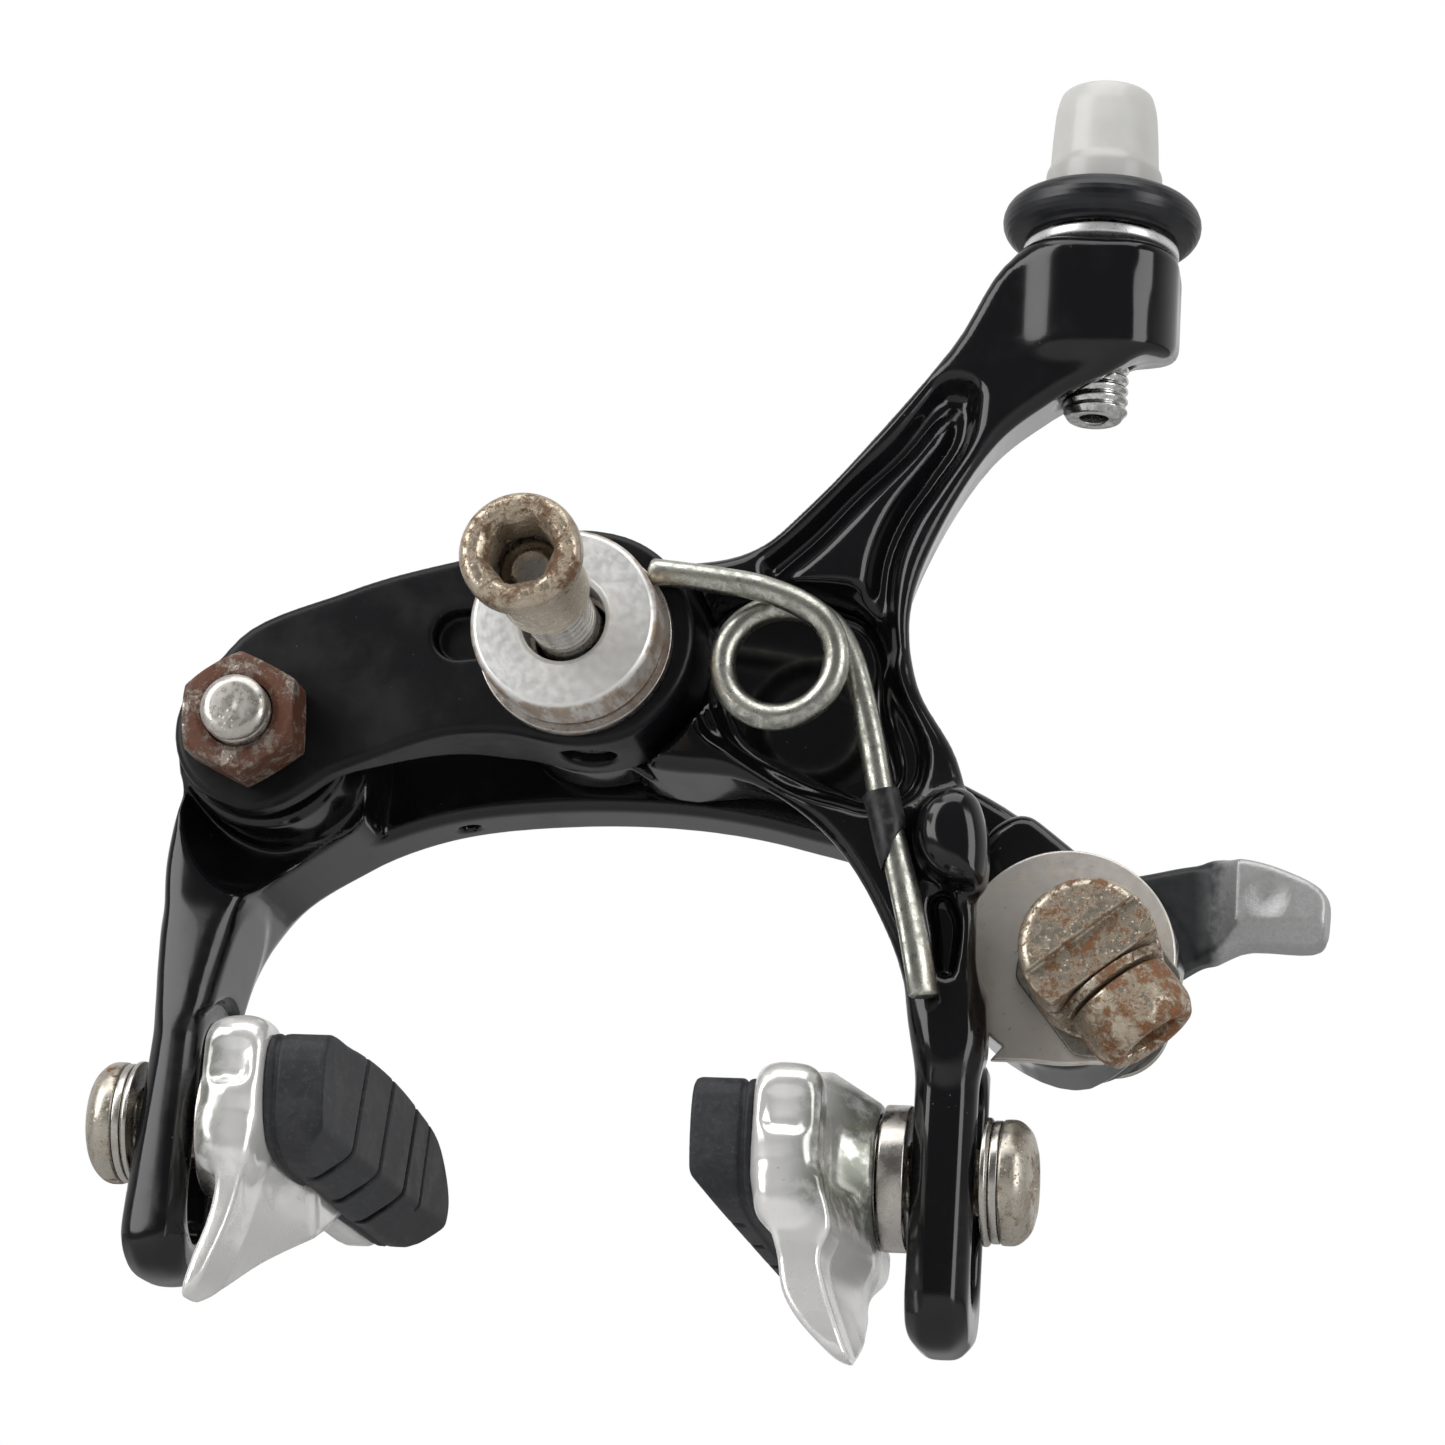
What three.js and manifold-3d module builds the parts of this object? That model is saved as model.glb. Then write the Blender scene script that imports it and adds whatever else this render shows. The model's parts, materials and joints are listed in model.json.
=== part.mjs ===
// Dual-pivot side-pull rim brake caliper for a road bicycle, in millimetres.
// +Z is up towards the cable, +X is to the right seen from the fork side and +Y points away from the fork.
// The origin is on the centre bolt's axis, in the spacer's face that rests on the frame.
import * as THREE from 'three';
import { mergeVertices } from 'three/addons/utils/BufferGeometryUtils.js';
import Module from 'manifold-3d';

const wasm = await Module();
wasm.setup();

// ---- Driving dimensions ----
const GAP = 0.3;

// Centre pivot stack along Y
const SPACER_R = 8.3;
const SPACER_THICK = 4.4;
const NUT_FRONT = -19;
const BRACKET_NEAR = 6;
const BRACKET_FAR = 15.6;
const EAR_FAR = 9.2;
const BOLT_R = 3;
const HOLE_R = BOLT_R + GAP;
const BOLT_END = 22.6;

// Side pivot of the C-arm
const SIDE_X = -28.6;
const SIDE_Z = -8.6;

// Y-arm
const ARM_A_NEAR = 9.8;
const ARM_A_FAR = 22.4;
const LEG_A_IN = 31.3;
const LEG_A_OUT = 37.1;
const LEG_A_BOTTOM = -60.6;

// C-arm
const ARCH_NEAR = 23;
const ARCH_FAR = 30.5;
const LEG_B_IN = -31.9;
const LEG_B_OUT = -37.7;
const LEG_B_BOTTOM = -57.6;
const LEG_B_NEAR = 10;

// Brake shoe slots
const SLOT_Y = 16.2;
const SLOT_HALF = 3.4;
const STUD_A_Z = -45.2;
const STUD_B_Z = -42.6;

// Barrel adjuster
const BARREL_X = 43.9;
const LUG_BOTTOM = 28.6;
const LUG_TOP = 39.6;

// Quick release, cable anchor and clamp screw
const HUB_X = 43.3;
const HUB_Z = -24.8;
const BOSS_NEAR = 18.9;
const BOSS_R = 9.6;
const HUB_R = 7.3;
const POST_X = 46.3;
const POST_Z = -26.7;
const POST_R = 5.95;
const CLAMP_Y = 9.8;
const CLAMP_ANGLE = THREE.MathUtils.degToRad(-51.7);

// ---- Materials ----
const material = (color, roughness, metalness) =>
  new THREE.MeshStandardMaterial({ color, roughness, metalness });
const BLACK_GLOSS = material(0x0b0b0d, 0.18, 0.3);
const BLACK_SATIN = material(0x141416, 0.42, 0.3);
const ALUMINIUM = material(0xd4d5d6, 0.4, 0.9);
const POLISHED = material(0xe4e2de, 0.15, 1);
const STAINLESS = material(0xa8a29a, 0.35, 0.95);
const ZINC = material(0xa9a896, 0.38, 0.9);
const RUSTY = material(0x8a6650, 0.6, 0.7);
const RUBBER = material(0x1c1d1f, 0.7, 0);
const BLACK_PLASTIC = material(0x0d0d0e, 0.5, 0);
const FROSTED = material(0xd9dada, 0.45, 0);

const part = new THREE.Group();
part.name = 'rim_brake_caliper';

// ---- Solid helpers ----
// Turns a closed geometry into a solid, facing outward whichever way it was drawn.
function solid(geometry) {
  const bare = geometry.clone();
  bare.deleteAttribute('normal');
  bare.deleteAttribute('uv');
  const merged = mergeVertices(bare, 1e-5);
  const p = merged.attributes.position.array;
  const tris = Uint32Array.from(merged.index.array);
  let volume = 0;
  for (let i = 0; i < tris.length; i += 3) {
    const a = new THREE.Vector3().fromArray(p, tris[i] * 3);
    const b = new THREE.Vector3().fromArray(p, tris[i + 1] * 3);
    const c = new THREE.Vector3().fromArray(p, tris[i + 2] * 3);
    volume += a.dot(b.cross(c));
  }
  if (volume < 0) {
    for (let i = 0; i < tris.length; i += 3) {
      [tris[i], tris[i + 1]] = [tris[i + 1], tris[i]];
    }
  }
  return new wasm.Manifold(new wasm.Mesh({
    numProp: 3,
    vertProperties: Float32Array.from(p),
    triVerts: tris,
  }));
}

const joined = (...solids) => solids.reduce((a, b) => a.add(b));
const cut = (body, ...tools) => tools.reduce((a, b) => a.subtract(b), body);

function place(name, body, look) {
  const out = body.getMesh();
  const geometry = new THREE.BufferGeometry();
  geometry.setAttribute('position', new THREE.BufferAttribute(Float32Array.from(out.vertProperties), 3));
  geometry.setIndex(new THREE.BufferAttribute(Uint32Array.from(out.triVerts), 1));
  geometry.computeVertexNormals();
  const mesh = new THREE.Mesh(geometry, look);
  mesh.name = name;
  part.add(mesh);
}

// Flat outlines
const smooth = (points, steps = 3) => {
  const curve = new THREE.CatmullRomCurve3(
    points.map(([a, b]) => new THREE.Vector3(a, b, 0)), true, 'centripetal');
  const count = points.length * steps;
  return new THREE.Shape(Array.from({ length: count }, (_, i) => {
    const at = curve.getPoint(i / count);
    return new THREE.Vector2(at.x, at.y);
  }));
};
const polygon = (points) => new THREE.Shape(points.map(([a, b]) => new THREE.Vector2(a, b)));
const disc = (a, b, r, sides = 24, turn = 0) => polygon(
  Array.from({ length: sides }, (_, i) => {
    const angle = turn + (i / sides) * 2 * Math.PI;
    return [a + r * Math.cos(angle), b + r * Math.sin(angle)];
  }));
// Round-ended slot between two centres
const slot = (a0, b0, a1, b1, r, sides = 8) => {
  const heading = Math.atan2(b1 - b0, a1 - a0);
  const end = (a, b, from) => Array.from({ length: sides + 1 }, (_, i) => {
    const angle = from + (i / sides) * Math.PI;
    return [a + r * Math.cos(angle), b + r * Math.sin(angle)];
  });
  return polygon([...end(a1, b1, heading - Math.PI / 2), ...end(a0, b0, heading + Math.PI / 2)]);
};
// Rectangle with round corners
const rounded = (a0, b0, a1, b1, r, sides = 4) => {
  const corners = [[a1 - r, b1 - r, 0], [a0 + r, b1 - r, 1], [a0 + r, b0 + r, 2], [a1 - r, b0 + r, 3]];
  return polygon(corners.flatMap(([a, b, quarter]) => Array.from({ length: sides + 1 }, (_, i) => {
    const angle = (quarter + i / sides) * Math.PI / 2;
    return [a + r * Math.cos(angle), b + r * Math.sin(angle)];
  })));
};

// Prisms: an outline in one plane, drawn through the third axis
function prismY(shape, near, far) {
  const geometry = new THREE.ExtrudeGeometry(shape, { depth: far - near, bevelEnabled: false });
  geometry.rotateX(Math.PI / 2);
  geometry.translate(0, far, 0);
  return solid(geometry);
}

function prismX(shape, x0, x1) {
  const geometry = new THREE.ExtrudeGeometry(shape, { depth: Math.abs(x1 - x0), bevelEnabled: false });
  const swap = new THREE.Matrix4().makeBasis(
    new THREE.Vector3(0, 1, 0), new THREE.Vector3(0, 0, 1), new THREE.Vector3(1, 0, 0));
  geometry.applyMatrix4(swap);
  geometry.translate(Math.min(x0, x1), 0, 0);
  return solid(geometry);
}

function prismZ(shape, z0, z1) {
  const geometry = new THREE.ExtrudeGeometry(shape, { depth: z1 - z0, bevelEnabled: false });
  geometry.translate(0, 0, z0);
  return solid(geometry);
}

// Turned pieces: [radius, distance along the axis] profiles, closed on themselves or on the axis
function turned(profile, sides) {
  return new THREE.LatheGeometry(profile.map(([r, s]) => new THREE.Vector2(r, s)), sides);
}

function turnedY(profile, x, z, sides = 24) {
  const geometry = turned(profile, sides);
  geometry.translate(x, 0, z);
  return solid(geometry);
}

function turnedZ(profile, x, y, sides = 24) {
  const geometry = turned(profile, sides);
  geometry.rotateX(Math.PI / 2);
  geometry.translate(x, y, 0);
  return solid(geometry);
}

function turnedX(profile, y, z, sides = 20) {
  const geometry = turned(profile, sides);
  geometry.rotateZ(-Math.PI / 2);
  geometry.translate(0, y, z);
  return solid(geometry);
}

const ring = (inner, outer, s0, s1) => [[inner, s0], [outer, s0], [outer, s1], [inner, s1], [inner, s0]];

// ---- Bracket and centre pivot ----
const bracketOutline = smooth([
  [-31.5, -1.3], [-21, 4.4], [-11, 7.4], [0, 9.6], [7, 4], [6, -7.6],
  [-2, -8.6], [-11, -8.9], [-20, -12.1], [-29, -15.6],
]);
const bracket = cut(
  joined(
    prismY(bracketOutline, BRACKET_NEAR, BRACKET_FAR),
    prismY(disc(0.7, 0.3, 9.9, 36), BRACKET_NEAR, BRACKET_FAR),
    prismY(disc(SIDE_X, SIDE_Z, 7.2, 28), BRACKET_NEAR, EAR_FAR)),
  prismY(disc(SIDE_X, SIDE_Z, 9.6, 28), EAR_FAR, 40),
  prismY(polygon([[-45, -25], [SIDE_X, -25], [SIDE_X, 10], [-45, 10]]), EAR_FAR, 40),
  prismY(disc(0, 0, HOLE_R, 24), 0, 40),
  prismY(disc(SIDE_X, SIDE_Z, HOLE_R, 24), 0, 40),
  // Shallow slot in the near face, which runs in under the spacer
  prismY(slot(-11.2, 0.6, -5, 1.2, 2.3), 0, BRACKET_NEAR + 2),
  // Tapped hole for the centring screw
  prismZ(disc(1, 10.8, 2.4, 20), -20, -4.6));
place('mount_bracket', bracket, BLACK_SATIN);

place('centring_screw', cut(
  prismZ(disc(1, 10.8, 2.1, 20), -8.7, -4.9),
  prismZ(disc(1, 10.8, 1.15, 6), -9, -6.9)), BLACK_SATIN);

place('bridge_spacer', turnedY([
  [3.75, 0.5], [4.25, 0], [SPACER_R - 0.4, 0], [SPACER_R, 0.4], [SPACER_R, SPACER_THICK],
  [3.75, SPACER_THICK], [3.75, 0.5],
], 0, 0, 36), ALUMINIUM);

place('spacer_washer', turnedY(ring(3.4, 8.7, SPACER_THICK + 0.2, BRACKET_NEAR - 0.2), 0.2, -0.3, 28),
  STAINLESS);

place('centre_bolt', turnedY([
  [0, -13.9], [1.6, -13.7], [2.6, -13], [BOLT_R, -12.2], [BOLT_R, BOLT_END - 0.6],
  [BOLT_R - 0.6, BOLT_END], [0, BOLT_END],
], 0, 0, 24), STAINLESS);

place('sleeve_nut', cut(
  turnedY([
    [0, NUT_FRONT], [4.6, NUT_FRONT], [5.2, NUT_FRONT + 0.6], [5.2, NUT_FRONT + 2.4],
    [3.9, NUT_FRONT + 3], [3.9, -7.4], [3.6, -7], [0, -7],
  ], 0, 0, 24),
  prismY(disc(0, 0, HOLE_R, 24), -14.3, 0),
  prismY(disc(0, 0, 2.9, 6, 0.2), -30, -14)), RUSTY);

place('centre_front_washer', turnedY(ring(HOLE_R, 6.2, 19.5, 20.2), 0, 0, 24), STAINLESS);

place('centre_lock_nut', cut(
  prismY(disc(0, 0, 5.75, 6), 20.4, 22.4),
  prismY(disc(0, 0, HOLE_R, 24), 10, 40)), STAINLESS);

// ---- Side pivot ----
place('side_pivot_bolt', cut(
  turnedY([
    [0, -1.1], [2.2, -1.1], [BOLT_R, -0.3], [BOLT_R, 31], [5.2, 31], [5.2, 33], [4, 34.2], [0, 34.2],
  ], SIDE_X, SIDE_Z, 20),
  prismY(disc(SIDE_X, SIDE_Z, 2.3, 6), 32, 40)), RUSTY);

place('side_pivot_nut', cut(
  prismY(disc(SIDE_X, SIDE_Z, 5.77, 6, THREE.MathUtils.degToRad(94)), 0.9, BRACKET_NEAR - 0.2),
  prismY(disc(SIDE_X, SIDE_Z, HOLE_R, 24), -10, 40)), RUSTY);

place('side_pivot_washer', turnedY(ring(HOLE_R, 5.6, EAR_FAR + 0.3, EAR_FAR + 1.4), SIDE_X, SIDE_Z, 20),
  RUSTY);

// ---- Y-arm ----
const armWeb = smooth([
  [-1, 9.2], [8, 8.7], [14.4, 10], [19.5, 14.6], [31.2, 29.2], [36.8, 38.2], [45, 38.4], [47.5, 29],
  [41, 24.6], [36, 20.4], [31, 11.6], [29, 4.5], [30, -2.4], [33.8, -9], [35.8, -18], [36.4, -30],
  [37, -36], [34, -38], [31.3, -36], [28.4, -25.5], [23.2, -16.8], [15.6, -11.5], [4, -9],
], 3);
const legA = prismX(rounded(ARM_A_NEAR, LEG_A_BOTTOM, ARM_A_FAR, -30, 4.6), LEG_A_IN, LEG_A_OUT);
const pocket = smooth([[12, 5.2], [24, 5.4], [26.8, 2], [27, -11], [25, -13], [19, -10.8], [12.2, -6]], 3);
const ribHollow = smooth([[33.6, 25], [30, 21], [17.5, 8.6], [24.6, 8], [29, 15.5]], 3);
const springStop = smooth([[31, -13.8], [33.4, -12.3], [36, -14], [36, -20.6], [34.4, -20.4], [31.8, -17.8]], 3);
// The anchor's boss and washer swing past the arm's far side as the brake closes.
const bossRelief = [0, 3, 6, 9].map((step) => prismY(
  disc(HUB_X + step * 0.3, HUB_Z + step * 2.2, 11.9, 28), 16.4, 60));
const armA = cut(
  joined(
    prismY(armWeb, ARM_A_NEAR, ARM_A_FAR),
    prismY(disc(0, 0, 9.3, 28), BRACKET_FAR + GAP, ARM_A_FAR),
    prismZ(disc(BARREL_X, SLOT_Y, 7.4, 28), LUG_BOTTOM, LUG_TOP),
    legA,
    prismY(springStop, 6, ARM_A_NEAR + 1)),
  prismY(disc(0, 0, 11.6, 36), 0, BRACKET_FAR + GAP),
  prismY(polygon([[-20, -20], [2, -20], [2, 20], [-20, 20]]), 0, BRACKET_FAR + GAP),
  prismY(disc(0, 0, HOLE_R, 24), 0, 40),
  prismY(disc(0, 0, 6.6, 24), 19.2, 40),
  prismY(pocket, 0, 17),
  prismY(ribHollow, 0, 12.4),
  prismX(slot(SLOT_Y, -38.9, SLOT_Y, -52.6, SLOT_HALF), 20, 50),
  prismZ(disc(BARREL_X, SLOT_Y, HOLE_R, 24), 20, 50),
  ...bossRelief);
place('arm_a', armA, BLACK_GLOSS);

// Return spring: upper leg against the spacer, one coil in the pocket, lower leg past the stop
const COIL_X = 18.3;
const COIL_Z = -1.6;
const COIL_R = 5.3;
const WIRE_R = 1.15;
const coilTurns = Array.from({ length: 15 }, (_, i) => {
  const turn = i / 14;
  const angle = Math.PI / 2 - turn * 2.45 * Math.PI;
  return new THREE.Vector3(
    COIL_X + COIL_R * Math.cos(angle), 4.8 + turn * 2.9, COIL_Z + COIL_R * Math.sin(angle));
});
const springPath = new THREE.CatmullRomCurve3([
  new THREE.Vector3(5.2, 4.5, 8.4),
  new THREE.Vector3(10.6, 4.5, 6.9),
  new THREE.Vector3(14.6, 4.6, 5),
  ...coilTurns,
  new THREE.Vector3(26, 7.9, -7),
  new THREE.Vector3(28.1, 7.9, -14.6),
  new THREE.Vector3(29, 7.9, -18.6),
  new THREE.Vector3(32.2, 7.9, -31.2),
]);
place('return_spring', solid(new THREE.ExtrudeGeometry(disc(0, 0, WIRE_R, 6), {
  steps: 64, bevelEnabled: false, extrudePath: springPath,
})), ZINC);

const sleevePath = new THREE.LineCurve3(new THREE.Vector3(28.1, 7.9, -14.6), new THREE.Vector3(29, 7.9, -18.6));
const sleeveSection = disc(0, 0, 1.85, 16);
sleeveSection.holes.push(disc(0, 0, 1.5, 16));
place('spring_sleeve', solid(new THREE.ExtrudeGeometry(sleeveSection, {
  steps: 1, bevelEnabled: false, extrudePath: sleevePath,
})), BLACK_PLASTIC);

// ---- Barrel adjuster ----
place('adjuster_barrel', turnedZ([
  [1.3, 24.4], [2.6, 24.4], [BOLT_R, 24.9], [BOLT_R, 41.2], [4.6, 41.2], [4.6, 44.4],
  [1.3, 44.4], [1.3, 24.4],
], BARREL_X, SLOT_Y, 24), ZINC);
place('adjuster_washer', turnedZ(ring(HOLE_R, 7.1, LUG_TOP + 0.3, LUG_TOP + 1.3), BARREL_X, SLOT_Y, 24),
  POLISHED);
const oRing = new THREE.TorusGeometry(7, 2.05, 8, 28);
oRing.translate(BARREL_X, SLOT_Y, 43.3);
place('adjuster_o_ring', solid(oRing), RUBBER);
place('cable_ferrule', turnedZ([
  [1.3, 44.7], [4.6, 44.7], [5.3, 46], [4.9, 50], [4.4, 54.2], [3.8, 55.7], [3, 56.3], [2.6, 56.3],
  [2.6, 47.5], [1.3, 47.5], [1.3, 44.7],
], BARREL_X, SLOT_Y, 24), FROSTED);

// ---- C-arm ----
const cArm = smooth([
  [-36.2, -8], [-33, -2], [-26, -1], [-19, -1.8], [-8, -0.8], [6, -1.2], [22, -3.6], [35, -8.6],
  [44, -15], [53, -23], [45, -34.2], [36, -31], [27, -16.2], [18, -12.9], [8, -11.2], [-4, -11.1],
  [-15, -12.6], [-24, -16.4], [-28.6, -20], [-31, -26], [-32.2, -31], [-34.8, -37], [-37.7, -35],
  [-37.1, -28], [-37.9, -20],
], 3);
const legB = prismX(rounded(LEG_B_NEAR, LEG_B_BOTTOM, ARM_A_FAR, -28, 4.6), LEG_B_IN, LEG_B_OUT);
const armB = cut(
  joined(
    cut(
      prismY(cArm, LEG_B_NEAR + 0.9, ARCH_FAR),
      // Far side tapers down to the leg
      prismX(polygon([[ARCH_FAR + 0.1, -17], [60, -17], [60, -60], [ARM_A_FAR, -60], [ARM_A_FAR, -32],
        [25.4, -25]]), -60, -20),
      // The arch lies beyond the Y-arm
      prismY(polygon([[-20.4, -60], [33, -60], [33, 20], [-24.4, 20], [-24.4, -1.6], [-20.4, -5.5]]),
        0, ARCH_NEAR),
      prismY(polygon([[32, -60], [70, -60], [70, 20], [32, 20]]), 0, BOSS_NEAR),
      prismY(polygon([[32, -17], [36, -12.6], [41, -9], [41, 20], [32, 20]]), 0, ARCH_NEAR)),
    prismY(disc(SIDE_X, SIDE_Z, 7.9, 28), LEG_B_NEAR + 0.9, ARCH_FAR),
    prismY(disc(HUB_X, HUB_Z, BOSS_R, 36), BOSS_NEAR, ARCH_FAR),
    legB),
  prismY(disc(HUB_X, HUB_Z, HUB_R + GAP, 28), 0, 60),
  prismY(disc(SIDE_X, SIDE_Z, HOLE_R, 24), 0, 60),
  prismX(slot(SLOT_Y, -37, SLOT_Y, -49.6, SLOT_HALF), -50, -25),
  prismZ(disc(-13, 26.5, 0.9, 12), -20, -10));
place('arm_b', armB, BLACK_GLOSS);

// ---- Quick release ----
// The washer is keyed to the lever's hub; its forked tab stops the lever.
const washerOutline = joined(
  prismY(disc(HUB_X, HUB_Z, BOSS_R, 36), 17.6, 18.6),
  prismY(polygon([[36.6, -26.5], [37, -30.2], [38.6, -32.2], [37.1, -34.2], [47, -34.2], [48, -28]]),
    17.6, 18.6));
place('quick_release_washer', cut(washerOutline, prismY(disc(POST_X, POST_Z, HOLE_R, 24), 0, 60)),
  STAINLESS);

const leverOutline = smooth([
  [44, -16], [50.5, -13.4], [57, -12.4], [61.5, -13.6], [65.4, -15.9], [65.3, -20.4], [57.6, -20.6],
  [52, -23.4], [47, -28],
], 3);
const lever = cut(
  joined(
    prismY(disc(HUB_X, HUB_Z, HUB_R, 28), BOSS_NEAR, 32),
    prismY(disc(HUB_X, HUB_Z, 9.3, 28), ARCH_FAR + GAP, 34.4),
    cut(
      prismY(leverOutline, 28.4, 34.4),
      // Offset blade: the neck runs along the far side and the thumb pad leans towards the fork
      prismY(disc(HUB_X, HUB_Z, 11, 28), 0, ARCH_FAR + GAP),
      prismZ(polygon([[54, 20], [54, 30.8], [58, 28.4], [58, 20]]), -40, 0),
      prismZ(polygon([[40, 20], [54.1, 20], [54.1, 30.8], [40, 30.8]]), -40, 0),
      prismZ(polygon([[55, 40], [55, 34.4], [59, 31.6], [70, 31.6], [70, 40]]), -40, 0))),
  prismY(disc(POST_X, POST_Z, HOLE_R, 24), 0, 60));
place('quick_release_lever', lever, ZINC);

// ---- Cable anchor ----
// Clamp parts are built along local X and turned to the clamp screw's direction.
function alongClamp(geometry) {
  geometry.rotateY(-CLAMP_ANGLE);
  geometry.translate(POST_X, CLAMP_Y, POST_Z);
  return solid(geometry);
}
const clampTurned = (profile, sides) => {
  const geometry = turned(profile, sides);
  geometry.rotateZ(-Math.PI / 2);
  return alongClamp(geometry);
};
const clampBlock = (x0, x1, y0, y1) => {
  const geometry = new THREE.BoxGeometry(x1 - x0, y1 - y0, 30);
  geometry.translate((x0 + x1) / 2, (y0 + y1) / 2, 0);
  return alongClamp(geometry);
};

place('anchor_post', cut(
  turnedY([
    [0, 4.4], [4.8, 4.4], [POST_R, 5.5], [POST_R, 16.4], [BOLT_R, 16.4], [BOLT_R, 36.2], [0, 36.2],
  ], POST_X, POST_Z, 24),
  clampBlock(2.3, 9, -20, 5.5),
  clampBlock(-1.1, 9, -20, 5.2 - CLAMP_Y),
  clampTurned([[0, -3.6], [2.7, -3.6], [2.7, 12], [0, 12]], 16)), RUSTY);

const seatOutline = disc(POST_X, POST_Z, 7.2, 28);
place('anchor_seat_washer', cut(
  prismY(seatOutline, 16.7, 17.3).intersect(
    prismY(disc(POST_X, POST_Z, 5.9 * Math.SQRT2, 4, Math.PI / 4 + CLAMP_ANGLE), 16, 18)),
  prismY(disc(POST_X, POST_Z, HOLE_R, 24), 0, 60)), STAINLESS);

place('anchor_clip', turnedY(ring(HOLE_R, 5.2, 34.7, 35.6), POST_X, POST_Z, 20), STAINLESS);

place('cable_clamp_washer', clampTurned(ring(2.7, 5, 2.5, 3.4), 24), RUSTY);

const socketTool = new THREE.ExtrudeGeometry(disc(0, 0, 2.85, 6), { depth: 4, bevelEnabled: false });
socketTool.rotateY(Math.PI / 2);
socketTool.translate(6, 0, 0);
place('cable_clamp_screw', cut(
  clampTurned([
    [0, -3.2], [2.4, -3.2], [2.4, 3.7], [4.8, 3.7], [4.8, 8], [3.9, 9], [0, 9],
  ], 24),
  alongClamp(socketTool)), RUSTY);

// ---- Brake shoes ----
// inner and outer are the X of the arm leg's faces, side is +1 on the right and -1 on the left.
// Distances u run from the leg's inner face towards the wheel, v from its outer face outwards.
function brakeShoe(name, side, inner, outer, studZ) {
  const u = (distance) => inner - side * distance;
  const v = (distance) => outer + side * distance;
  const at = (profile, map) => profile.map(([r, s]) => [r, map(s)]);
  const onStud = (profile, map, sides) => turnedX(at(profile, map), SLOT_Y, studZ, sides);
  const padZ = studZ - 1;
  const sideView = (grow) => smooth([
    [-5.6 - grow, padZ + 3], [3, padZ + 4.2 + grow], [15, padZ + 5 + grow], [28, padZ + 4.6 + grow],
    [38, padZ + 3.2 + grow], [43 + grow, padZ - 1], [40, padZ - 5 - grow], [26, padZ - 6 - grow],
    [12, padZ - 5.8 - grow], [-3, padZ - 4.6 - grow], [-5.6 - grow, padZ - 2],
  ], 3);

  // Holder: plate behind the rubber, boss on the bolt, blunt rear end and the wheel guide below it
  const guideSection = smooth([
    [u(9.8), padZ - 3], [u(10), padZ - 8], [u(7.8), padZ - 12], [u(2.9), padZ - 18.2],
    [u(3.2), padZ - 15.6], [u(6.2), padZ - 9], [u(6.2), padZ - 3],
  ], 3);
  const guideSide = smooth([
    [-6, padZ - 2], [-6.4, padZ - 10], [-6.8, padZ - 17.6], [-3.4, padZ - 18], [6, padZ - 13.4],
    [18, padZ - 8.4], [30, padZ - 5.5], [10, padZ - 1],
  ], 3);
  const holder = cut(
    joined(
      prismX(sideView(0.8), u(10.5), u(7.4)),
      prismX(rounded(-7, padZ - 7, -0.5, padZ + 5.4, 2.4), u(10.5), u(5.4)),
      prismY(guideSection, -8, 32).intersect(prismX(guideSide, u(1), u(12))),
      onStud([[0, 10], [8.2, 10], [8.2, 7.4], [5.6, 5], [0, 5]], u, 20)),
    onStud([[0, 9.8], [HOLE_R, 9.8], [HOLE_R, 4], [0, 4]], u, 24));
  place(`${name}_shoe_holder`, holder, POLISHED);

  // Rubber insert with three slanted grooves across its friction face
  const groove = (y) => prismX(polygon([
    [y, padZ + 9], [y + 0.9, padZ + 9], [y - 2.9, padZ - 4.1], [y - 8, padZ - 9], [y - 9, padZ - 9],
    [y - 3.8, padZ - 4]]), u(15), u(18));
  const bevelLine = [[u(16.4), padZ - 2.6], [u(16.4), padZ - 12], [u(11.4), padZ - 12]];
  place(`${name}_rubber_pad`, cut(
    prismX(sideView(0), u(10.8), u(16)),
    prismY(polygon(bevelLine), -20, 60),
    groove(9), groove(18.5), groove(28)), RUBBER);

  // Clamping stack on the shoe bolt
  place(`${name}_inner_cone_washer`, onStud(
    [[HOLE_R, 4.7], [4.4, 4.7], [6.1, 3.2], [6.1, 2.8], [HOLE_R, 2.8], [HOLE_R, 4.7]], u, 20), STAINLESS);
  place(`${name}_inner_washer`, onStud(ring(HOLE_R, 6.2, 0.3, 2.5), u, 20), STAINLESS);
  place(`${name}_outer_cone_washer`, onStud(
    [[HOLE_R, 0.3], [5.6, 0.3], [5.6, 0.9], [5, 1.4], [HOLE_R, 1.4], [HOLE_R, 0.3]], v, 20), STAINLESS);
  place(`${name}_outer_washer`, onStud(ring(HOLE_R, 5.3, 1.7, 2.5), v, 20), STAINLESS);
  const legThickness = Math.abs(outer - inner);
  const socket = prismX(disc(SLOT_Y, studZ, 2.3, 6), v(4), v(7));
  place(`${name}_shoe_bolt`, cut(
    turnedX([
      [0, u(9.4)], [BOLT_R, u(9.4)], [BOLT_R, u(-legThickness - 2.8)], [5.5, v(2.8)], [5.5, v(3.9)],
      [4.4, v(5.2)], [0, v(5.5)],
    ], SLOT_Y, studZ, 20),
    socket), ZINC);
}
brakeShoe('right', 1, LEG_A_IN, LEG_A_OUT, STUD_A_Z);
brakeShoe('left', -1, LEG_B_IN, LEG_B_OUT, STUD_B_Z);

export default part;
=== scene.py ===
"""The look of a dual-pivot rim brake caliper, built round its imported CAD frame.

Forged, moulded and milled pieces are sculpted as signed distance fields and skinned; turned pieces
are revolved from filleted profiles; the spring is a swept wire. Lengths are in millimetres until a
mesh is made. Light positions, the camera and what along() and across() give are in metres.
"""
import json
import math

import bpy
import numpy as np
import openvdb
from mathutils import Matrix, Vector
from numpy.linalg import norm


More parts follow.
